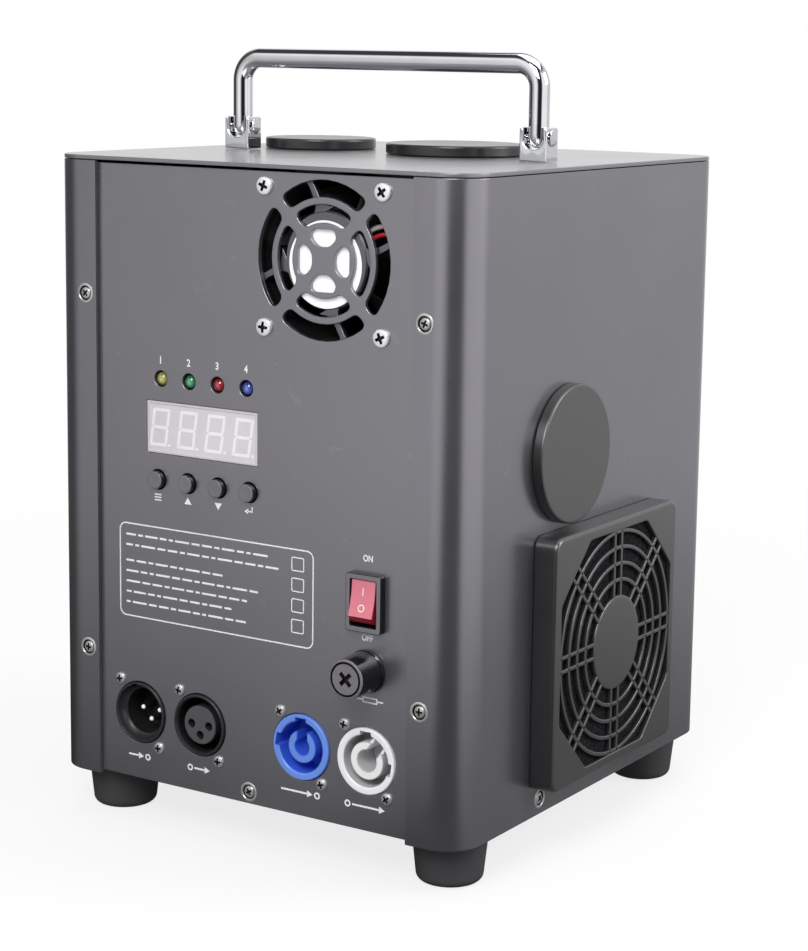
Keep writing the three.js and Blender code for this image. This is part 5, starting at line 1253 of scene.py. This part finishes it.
def makeSignalInlet(x):
    s = socketSizes
    rim = [(10.9, 0.9), (10.7, 0.7), (10.5, 0.0), (10.2, -1.2), (9.3, -2.4), (9.05, -2.5), (8.8, -2.7),
           (8.7, -3.1)]
    body = socketShell(s["signal"], 8.65, s["cupDepth"], rim)
    # the latch's cut takes finish 1: painted shade
    latch = Solid().block((-1.5, 10.2, -3.0), (1.5, 11.2, 2.0), 0.2, 1)
    body = carve(body, Solid().join(latch, spin(radians(13), "Z")))
    for px, py in contactSpots():
        shaft, tip = s["pin"], s["pinTip"]
        profile = [(0, s["cupDepth"] - 0.1), (shaft, s["cupDepth"] - 0.1), (shaft, -7.0), (tip, -6.5)]
        profile += arc(0, -6.5, tip, 4, first=1)[:-1]
        # the pins' shafts take finish 1, painted shade, and their tips the glinting contact finish
        body.lathe(profile + [(0, -6.5 + tip)], [1, 1, 1, 2, 2, 2, 2], 24, px, py)
    place = frontFace @ shift(x, s["z"], 0)
    makePiece("signalInlet", body, place, [socketBlack, hollowShade, contactMetal], ["signal_inlet"])


def makeSignalOutlet(x):
    s = socketSizes
    rim = [(10.85, 0.9), (10.7, 0.55), (10.5, 0.2), (10.35, -0.6)]
    body = socketShell(s["signal"], 10.35, s["cupDepth"], rim)
    top = s["proud"] - 1.0
    radius = s["insert"]
    outline = circle(radius, 72)
    holes = [circle(1.45, 24, px, py) for px, py in contactSpots()]
    body.prism([outline, *holes], s["cupDepth"] - 0.1, top, 0.35, 2, 0.0, 3, 0)
    # dark discs behind the contact holes: painted shade
    for px, py in contactSpots():
        body.disc(1.5, -8.5, -8, 1, 20, px, py)
    place = frontFace @ shift(x, s["z"], 0)
    makePiece("signalOutlet", body, place, [socketBlack, hollowShade, insertGrey], ["signal_outlet"])


def makePowerSocket(name, x, node, pale, deep, keyTurns, gapTurn, hub, armed=False):
    s = socketSizes
    rim = [(10.2, 0.9), (9.85, 0.75), (s["ring"], 0.4)]
    # the well's wall and floor take the second finish: painted shade
    body = socketShell(s["power"], s["ring"], s["wellDepth"], rim, 0, 1)
    outer, inner, half = hub
    gap = asin(half / outer), asin(half / inner)
    outline = arc(0, 0, outer, 56, gapTurn + gap[0], tau - 2 * gap[0])
    outline += arc(0, 0, inner, 56, gapTurn + tau - gap[1], 2 * gap[1] - tau)
    notches = Solid()
    # the key notches keep finish 1 once carved: painted shade
    for turn in keyTurns:
        notch = Solid().block((s["ring"] - s["keyDepth"], -s["keyWidth"] / 2, s["wellDepth"] + 1),
                              (s["ring"] + s["keyDepth"], s["keyWidth"] / 2, s["proud"] + 1), 0.2, 1)
        notches.join(notch, spin(turn, "Z"))
    body = carve(body, notches)
    # the hub's top takes the lit finish, its sides painted shade
    body.prism([outline], s["wellDepth"] - 0.1, s["hubTop"], 0.35, 0, 0.0, 3, 1)
    if armed:  # walls from the ends of the hub out to the ring
        for side in (-1, 1):
            wall = Solid().block((inner - 0.6, side * 2.75 - 0.55, s["wellDepth"]),
                                 (s["ring"] - 0.2, side * 2.75 + 0.55, s["hubTop"] - 0.5), 0.2)
            body.join(wall, spin(gapTurn, "Z"), 0)
    # a disc of painted shade on the floor inside the hub
    body.disc(inner - 0.2, s["wellDepth"] - 0.05, s["wellDepth"] + 0.5, 1, 40)
    place = frontFace @ shift(x, s["z"], 0)
    makePiece(name, body, place, [pale, deep], [node])


makeSignalInlet(panelSizes["signalX"][0])
makeSignalOutlet(panelSizes["signalX"][1])
makePowerSocket("powerInlet", panelSizes["powerX"][0], "power_inlet", blueBright, blueShaded,
                (pi / 2, radians(171)), pi / 2, (6.1, 3.1, 2.1))
makePowerSocket("powerOutlet", panelSizes["powerX"][1], "power_outlet", socketGrey, greyShaded,
                (pi / 2, radians(-8)), radians(54), (7.0, 4.0, 2.3), True)
print("sockets")

# Hopper and nozzle, seen through the openings once the caps are lifted

innerSizes = {"hopper": (-50.2, 20.2), "nozzle": (16.4, 17.0)}


def makeInner():
    hopper = [(18.1, 234.5), (22.0, 234.5), (22.0, 233.0), (19.3, 233.0), (19.3, 212.8), (6.2, 149.0), (6.2, 148.3),
              (5.0, 148.3), (5.0, 149.2), (18.1, 213.2)]
    body = Solid().lathe(hopper, 0, 72, *innerSizes["hopper"], ring=True)
    makePiece("hopperFunnel", body, housingFace, [steelDull], ["hopper"])
    nozzle = [(22.7, 234.5), (26.0, 234.5), (26.0, 232.9), (24.1, 232.9), (24.1, 225.0), (16.2, 214.3),
              (14.8, 214.3), (22.7, 225.4)]
    body = Solid().lathe(nozzle, 0, 72, *innerSizes["nozzle"], ring=True)
    makePiece("nozzleCone", body, housingFace, [steelDull], ["spark_nozzle"])


# Screws: each set is one recipe, a pan head with a cross recess that is turned at random on each spot

screwSizes = {  # head radius, full height, height of its upright side, bright collar round a sunk head
    "fan": {"spots": [(fanSizes["front"]["x"] + sx * 25, fanSizes["front"]["y"] + sy * 25, 0.0)
                      for sx in (-1, 1) for sy in (-1, 1)],
            "head": (3.15, 1.5, 1.0)},
    "seam": {"spots": [(sx * caseSizes["seamX"], z, -0.75) for sx in (-1, 1) for z in caseSizes["seamScrews"]],
             "head": (2.2, 0.95, 0.35), "collar": 0.75},
    "socket": {"spots": [(x + dx, panelSizes["socketZ"] + dz, 0.0)
                         for x in panelSizes["signalX"] + panelSizes["powerX"]
                         for dx, dz in ((-9.5, 12.0), (9.0, -12.4))], "head": (2.25, 1.15, 0.45)},
    "bottom": {"spots": [(*panelSizes["bottomScrew"], -0.75)], "head": (2.2, 0.95, 0.35), "collar": 0.75},
    "side": {"spots": [(*caseSizes["sideScrew"], -0.75)], "head": (2.2, 0.95, 0.35), "collar": 0.75},
}


def screwHead(radius, height, upright):
    profile = [(0, -0.4), (radius, -0.4), (radius, upright)]
    profile += [(radius * px, upright + (height - upright) * py) for px, py in arc(0, 0, 1, 6, first=1)[:-1]]
    head = Solid().lathe(profile + [(0, height)], 0, 32)
    half = radius * 0.2
    # the cross recess keeps finish 1: painted shade
    return carve(head, Solid().prism([cross(radius * 0.64, half, half * 0.8)], height * 0.2, height + 1, 0.0, 1))


def makeScrews(name, sizes, face, seed):
    plated = screwBright if name == "fanScrews" else screwSteel
    head = screwHead(*sizes["head"])
    if "collar" in sizes:
        lift = sizes["collar"]
        collar = ((2.75, -0.2), (3.7, -0.2), (3.7, 0.1), (3.5, 0.22), (2.95, 0.22), (2.75, 0.05))
        head.lathe([(radius, lift + height) for radius, height in collar], 0, 32, ring=True)
    source = loose(head, "screwSource", [plated, recessShade])
    recipe = Recipe(name, Seed=seed, Scale=1.0)
    turn = recipe.add("FunctionNodeRandomValue", {"data_type": "FLOAT"},
                      {2: 0.0, 3: tau, "Seed": recipe.size("Seed")}, 1)
    placed = recipe.scatter(recipe.size("Geometry"), source, Rotation=recipe.vector(z=turn),
                            Scale=recipe.size("Scale"))
    screws = recipe.build(placed, plated, sizes["spots"])
    makePiece(name, screws, face, [plated, recessShade], ())


makeInner()
returnLift = caseSizes["depth"] / 2 - (caseY - frontY)
for number, (group, sizes) in enumerate(screwSizes.items()):
    face = sideFace if group == "side" else frontFace
    if group == "seam":  # on the shell's front returns, which lie in front of the panel
        face = frontFace @ shift(0, 0, returnLift)
    makeScrews(group + "Screws", sizes, face, 7 + number)


leadSizes = {"out": 16.4, "turn": 0.40, "apart": 0.09, "depth": -4.6, "radius": 0.88, "lifts": (1.2, 4.0),
             "steps": 12}


def makeLeads():  # two leads from the fan's hub to its duct
    s, leads, fan = leadSizes, Solid(), fanSizes["front"]
    for finish, lift in enumerate(s["lifts"]):
        turn = s["turn"] + s["apart"] * finish
        start = Vector((fan["x"] + s["out"] * cos(turn), fan["y"] + s["out"] * sin(turn), s["depth"]))
        path = []
        for i in range(s["steps"] + 1):
            t = i / s["steps"]
            rise = 2.2 * t + 1.6 * sin(t * 3) + lift * 0.55
            path.append(start + Vector((10.5 * t, rise, -1.0 - 2.5 * t * t)))
        leads.tube(path, s["radius"], finish, 12)
    makePiece("fanLeads", leads, frontFace, [redWire, paleWire])


makeLeads()
print("screws and leads")

# Printed marks, each a thin layer of ink on the panel

markSizes = {"ink": 0.05, "line": 0.42, "frame": (-60.9, 28.7, 63.9, 99.9, 3.0),
             "boxes": (21.7, (94.3, 86.7, 79.1, 71.5), 5.6, 5.2), "dashes": (4.6, 2.4, 5.8, 3.2, 1.9, 6.6, 3.8),
             "rows": ((4.4, 8.0), (8.4, 10.0), (14.4, -14.0), (18.4, 3.0), (22.4, -3.0), (26.4, -9.0), (30.4, -5.0)),
             "port": 9.9, "controls": 111.2, "numbers": 161.4, "switch": (52.0, 99.5, 70.9), "fuse": (53.4, 49.4),
             "arrows": ((-51.8, 5.2, True), (-23.4, 5.2, False), (23.4, 8.6, True), (51.6, 8.6, False))}


def makeMarks():
    ink, line = markSizes["ink"], markSizes["line"]
    marks = Solid()

    def stroke(x0, y0, x1, y1, width=line):
        along = Vector((x1 - x0, y1 - y0))
        side = Vector((-along.y, along.x)).normalized() * width / 2
        a, b = Vector((x0, y0)), Vector((x1, y1))
        outline = [tuple(a - side), tuple(b - side), tuple(b + side), tuple(a + side)]
        marks.prism([outline], 0.0, ink)

    def fill(points):
        marks.prism([points], 0.0, ink)

    def frameBox(x0, x1, z0, z1, corner, width):
        middle = ((x0 + x1) / 2, (z0 + z1) / 2)
        outline = roundedBox(x1 - x0, z1 - z0, corner, *middle, 6)
        inner = roundedBox(x1 - x0 - 2 * width, z1 - z0 - 2 * width, max(corner - width, 0.08), *middle, 6)
        marks.prism([outline, inner], 0.0, ink)

    def words(text, x, z, height):
        curve = bpy.data.curves.new("words", "FONT")
        curve.body, curve.size, curve.align_x = text, height / 0.72, "CENTER"
        curve.extrude, curve.resolution_u, curve.offset = ink / 2, 4, height * 0.035
        thing = linked("words", curve)
        mesh = evaluated(thing)
        mesh.transform(shift(x, z, ink / 2) @ Matrix.Diagonal((0.84, 1, 1, 1)))
        marks.mesh.from_mesh(mesh)
        bpy.data.objects.remove(thing)

    x0, x1, z0, z1, corner = markSizes["frame"]
    frameBox(x0, x1, z0, z1, corner, 0.5)
    dashes = markSizes["dashes"]
    for k, (drop, end) in enumerate(markSizes["rows"]):  # short bars in place of print
        cursor, number = x0 + 3.2, 3 * k
        while cursor < end:
            length = dashes[number % len(dashes)]
            stroke(cursor, z1 - drop, cursor + length, z1 - drop, 0.75)
            cursor, number = cursor + length + 1.1, number + 1
    cx, levels, wide, tall = markSizes["boxes"]
    for cz in levels:
        frameBox(cx - wide / 2, cx + wide / 2, cz - tall / 2, cz + tall / 2, 0.7, 0.4)
    for k, x in enumerate(controlX):
        words(str(k + 1), x, markSizes["numbers"], 2.7)
    z = markSizes["controls"]
    x = buttonX[0]
    for k in (-1, 0, 1):
        stroke(x - 1.6, z + k * 1.05, x + 1.6, z + k * 1.05, 0.45)
    x = buttonX[1]
    fill([(x - 1.7, z - 1.1), (x + 1.7, z - 1.1), (x, z + 1.5)])
    x = buttonX[2]
    fill([(x - 1.7, z + 1.1), (x, z - 1.5), (x + 1.7, z + 1.1)])
    x = buttonX[3]
    stroke(x + 1.5, z + 1.5, x + 1.5, z - 0.3, 0.45)
    stroke(x + 1.72, z - 0.3, x - 0.7, z - 0.3, 0.45)
    fill([(x - 0.4, z - 1.3), (x - 0.4, z + 0.7), (x - 1.9, z - 0.3)])
    x, above, below = markSizes["switch"]
    words("ON", x, above, 2.3)
    words("OFF", x, below, 2.3)
    x, z = markSizes["fuse"]
    frameBox(x - 3.2, x + 3.2, z - 1.1, z + 1.1, 0.3, 0.5)
    stroke(x - 5.6, z, x - 3.2, z, 0.5)
    stroke(x + 3.2, z, x + 5.6, z, 0.5)
    z = markSizes["port"]
    for x, reach, inward in markSizes["arrows"]:
        ringX = x + reach - 1.2 if inward else x - reach + 1.2  # arrow into or out of a ring
        tip = x + reach - 3.2 if inward else x + reach
        start = x - reach if inward else x - reach + 3.2
        marks.prism([circle(1.3, 24, ringX, z), circle(0.7, 24, ringX, z)], 0.0, ink)
        stroke(start, z, tip - 2.3, z, 0.7)
        fill([(tip - 2.4, z - 1.3), (tip, z), (tip - 2.4, z + 1.3)])
    makePiece("panelMarks", marks, frontFace, [inkWhite])


makeMarks()
print("printed marks")

# The nodes that stay get finishes of their own, hidden ones too

keptFinishes = {
    "base_plate": shellCoat, "filter_base": blackDull, "display_board": board, "main_board": board,
    "fuse_link": fuseGlass, "feed_barrel": steelDull, "feed_screw": steelDull, "feed_motor": steelDull,
    "heating_chamber": steelDull, "heater_band": castAlloy, "chamber_bracket": steelDull,
    "blower_housing": blackDull, "blower_impeller": blackDull, "power_supply": steelDull,
}
for name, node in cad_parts.items():
    sheet = any(word in name for word in ("shell", "plate", "panel"))
    finish = keptFinishes.get(name, shellCoat if sheet else blackDull)
    if not node.material_slots:
        node.data.materials.append(finish.material)
    for slotOfNode in node.material_slots:
        slotOfNode.material = finish.material

# Camera, floor and light

cameraSizes = {"turn": 32.338, "tip": 9.344, "roll": 0.888, "place": (483.3956, -733.547, 295.608),
               "lens": 86.3, "shift": (-0.0340, -0.0578)}


def makeCamera():
    s = cameraSizes
    turn, tip, roll = (radians(s[key]) for key in ("turn", "tip", "roll"))
    back = Vector((sin(turn) * cos(tip), -cos(turn) * cos(tip), sin(tip)))
    level = Vector((cos(turn), sin(turn), 0))
    up = back.cross(level)
    right = level * cos(roll) + up * sin(roll)
    above = up * cos(roll) - level * sin(roll)
    camera = bpy.data.cameras.new("camera")
    camera.sensor_width, camera.sensor_fit, camera.lens = 36.0, "AUTO", s["lens"]
    camera.shift_x, camera.shift_y = s["shift"]
    camera.clip_start, camera.clip_end = 0.02, 20
    thing = linked("camera", camera)
    matrix = Matrix((right, above, back)).transposed().to_4x4()
    matrix.translation = Vector(s["place"]) * mm
    thing.matrix_world = matrix
    bpy.context.scene.camera = thing


makeCamera()


class Surround(NodeTree):
    def __init__(self, tree):
        self.tree = tree
        tree.nodes.clear()

    def ray(self, kind):
        return self.add("ShaderNodeLightPath", output=f"Is {kind} Ray")

    def shine(self, colour, strength):
        return self.add("ShaderNodeBackground", None, {"Color": colour, "Strength": strength})

    def either(self, share, first, second):
        return self.add("ShaderNodeMixShader", None, {0: share, 1: first, 2: second})

    def end(self, kind, shader):
        self.feed(self.tree.nodes.new(kind).inputs["Surface"], shader)

    def along(self, direction, axis):
        return self.vectors("DOT_PRODUCT", direction, axis, "Value")

    def ring(self, direction):  # bright and dark parts of the studio round the object
        turn = radians(cameraSizes["turn"])
        towards = self.along(direction, (sin(turn), -cos(turn), 0.0))  # to the camera
        beside = self.along(direction, (cos(turn), sin(turn), 0.0)) * 0.5 + 0.5  # 0 left, 1 right
        ahead = self.greys(beside, (0.0, 0.4), (0.045, 0.7), (0.1, 1.0), (0.22, 1.0), (0.36, 0.02), (0.66, 0.02),
                           (0.75, 1.0))
        behind = self.greys(beside, (0.0, 0.04), (0.2, 0.12), (0.36, 0.95), (0.5, 1.0), (0.68, 1.0), (0.84, 0.66))
        return self.merge(self.greys(towards * 0.5 + 0.5, (0.46, 0.0), (0.56, 1.0)), behind, ahead)


def makeWorld():
    world = bpy.data.worlds.new("studio")
    world.use_nodes = True
    bpy.context.scene.world = world
    tree = Surround(world.node_tree)
    direction = tree.add("ShaderNodeTexCoord", output="Generated")
    ringed = tree.ring(direction)
    high = tree.greys(tree.along(direction, (0.0, 0.0, 1.0)), (0.6, 0.0), (0.74, 1.0))
    mirrored = tree.merge(high, ringed, (0.05, 0.05, 0.055, 1))
    soft = tree.shine(tree.merge(0.45, (0.34, 0.342, 0.348, 1), ringed), 1.0)
    glossy = tree.shine(mirrored, 1.0)
    plain = tree.shine((1, 1, 1, 1), 1.0)
    seen = tree.either(tree.ray("Glossy"), soft, glossy)
    tree.end("ShaderNodeOutputWorld", tree.either(tree.ray("Camera") + tree.ray("Transmission"), seen, plain))


def makeFloor():
    mesh = bpy.data.meshes.new("floor")
    maker = bmesh.new()
    bmesh.ops.create_grid(maker, x_segments=2, y_segments=2, size=3.0)
    maker.to_mesh(mesh)
    maker.free()
    mesh.transform(shift(0, 0, -0.0003))
    floor = linked("floor", mesh)
    material = bpy.data.materials.new("floorPaper")
    material.use_nodes = True
    mesh.materials.append(material)
    tree = Surround(material.node_tree)
    place = tree.place()
    far = tree.vectors("LENGTH", place, output="Value")
    depth = tree.add("ShaderNodeSeparateXYZ", None, {0: place}, "Y")
    heading = tree.vectors("NORMALIZE", place)
    ends = (0.0, 0.03), (1.0, 0.9)
    lighter = tree.merge(1.0, tree.greys(far * 1.3, *ends), tree.greys(depth * 0.9 + 0.28, *ends), "LIGHTEN")
    nearShadow = tree.greys(far, (0.16, 0.7), (0.42, 1.0))  # painted shadow close round the object, seen in reflections of the floor
    for shade in (nearShadow, tree.ring(heading)):
        lighter = tree.merge(1.0, lighter, shade, "MULTIPLY")
    pale = tree.greys(far, (0.22, 0.8), (0.7, 1.0))
    albedo = tree.merge(tree.ray("Diffuse"), (0.86, 0.86, 0.87, 1), (0.35, 0.35, 0.36, 1))
    matt = tree.add("ShaderNodeBsdfDiffuse", None, {"Color": albedo})
    white = tree.add("ShaderNodeEmission", None, {"Color": (1, 1, 1, 1), "Strength": 1.0})
    mirrored = tree.add("ShaderNodeEmission", None, {"Color": lighter, "Strength": 1.0})
    seen = tree.either(tree.ray("Camera") * pale, matt, white)
    tree.end("ShaderNodeOutputMaterial", tree.either(tree.ray("Glossy"), seen, mirrored))
    floor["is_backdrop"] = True


lampSizes = {  # place and aim in metres, size, watts
    "overhead": ((0.15, 0.10, 1.30), (0.0, 0.0, 0.20), 1.2, 6.5),
    "front": ((0.36, -0.98, 0.90), (0.04, -0.05, 0.20), 0.6, 10.5),
    "right": ((1.1, 0.5, 0.72), (0.05, 0.0, 0.17), 0.6, 7.2),
}


def makeLamps():
    for name, (place, aim, size, power) in lampSizes.items():
        lamp = bpy.data.lights.new(name, "AREA")
        lamp.shape, lamp.size, lamp.energy = "SQUARE", size, power
        thing = linked(name, lamp)
        thing.location = place
        thing.rotation_euler = (Vector(aim) - Vector(place)).to_track_quat("-Z", "Y").to_euler()


makeWorld()
makeFloor()
makeLamps()
bpy.context.scene.view_settings.view_transform = "Standard"
print("camera, floor and light")

sizes = {"cad": cadBounds, "visual": [list(corner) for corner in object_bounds()]}
print("size:", sizes)
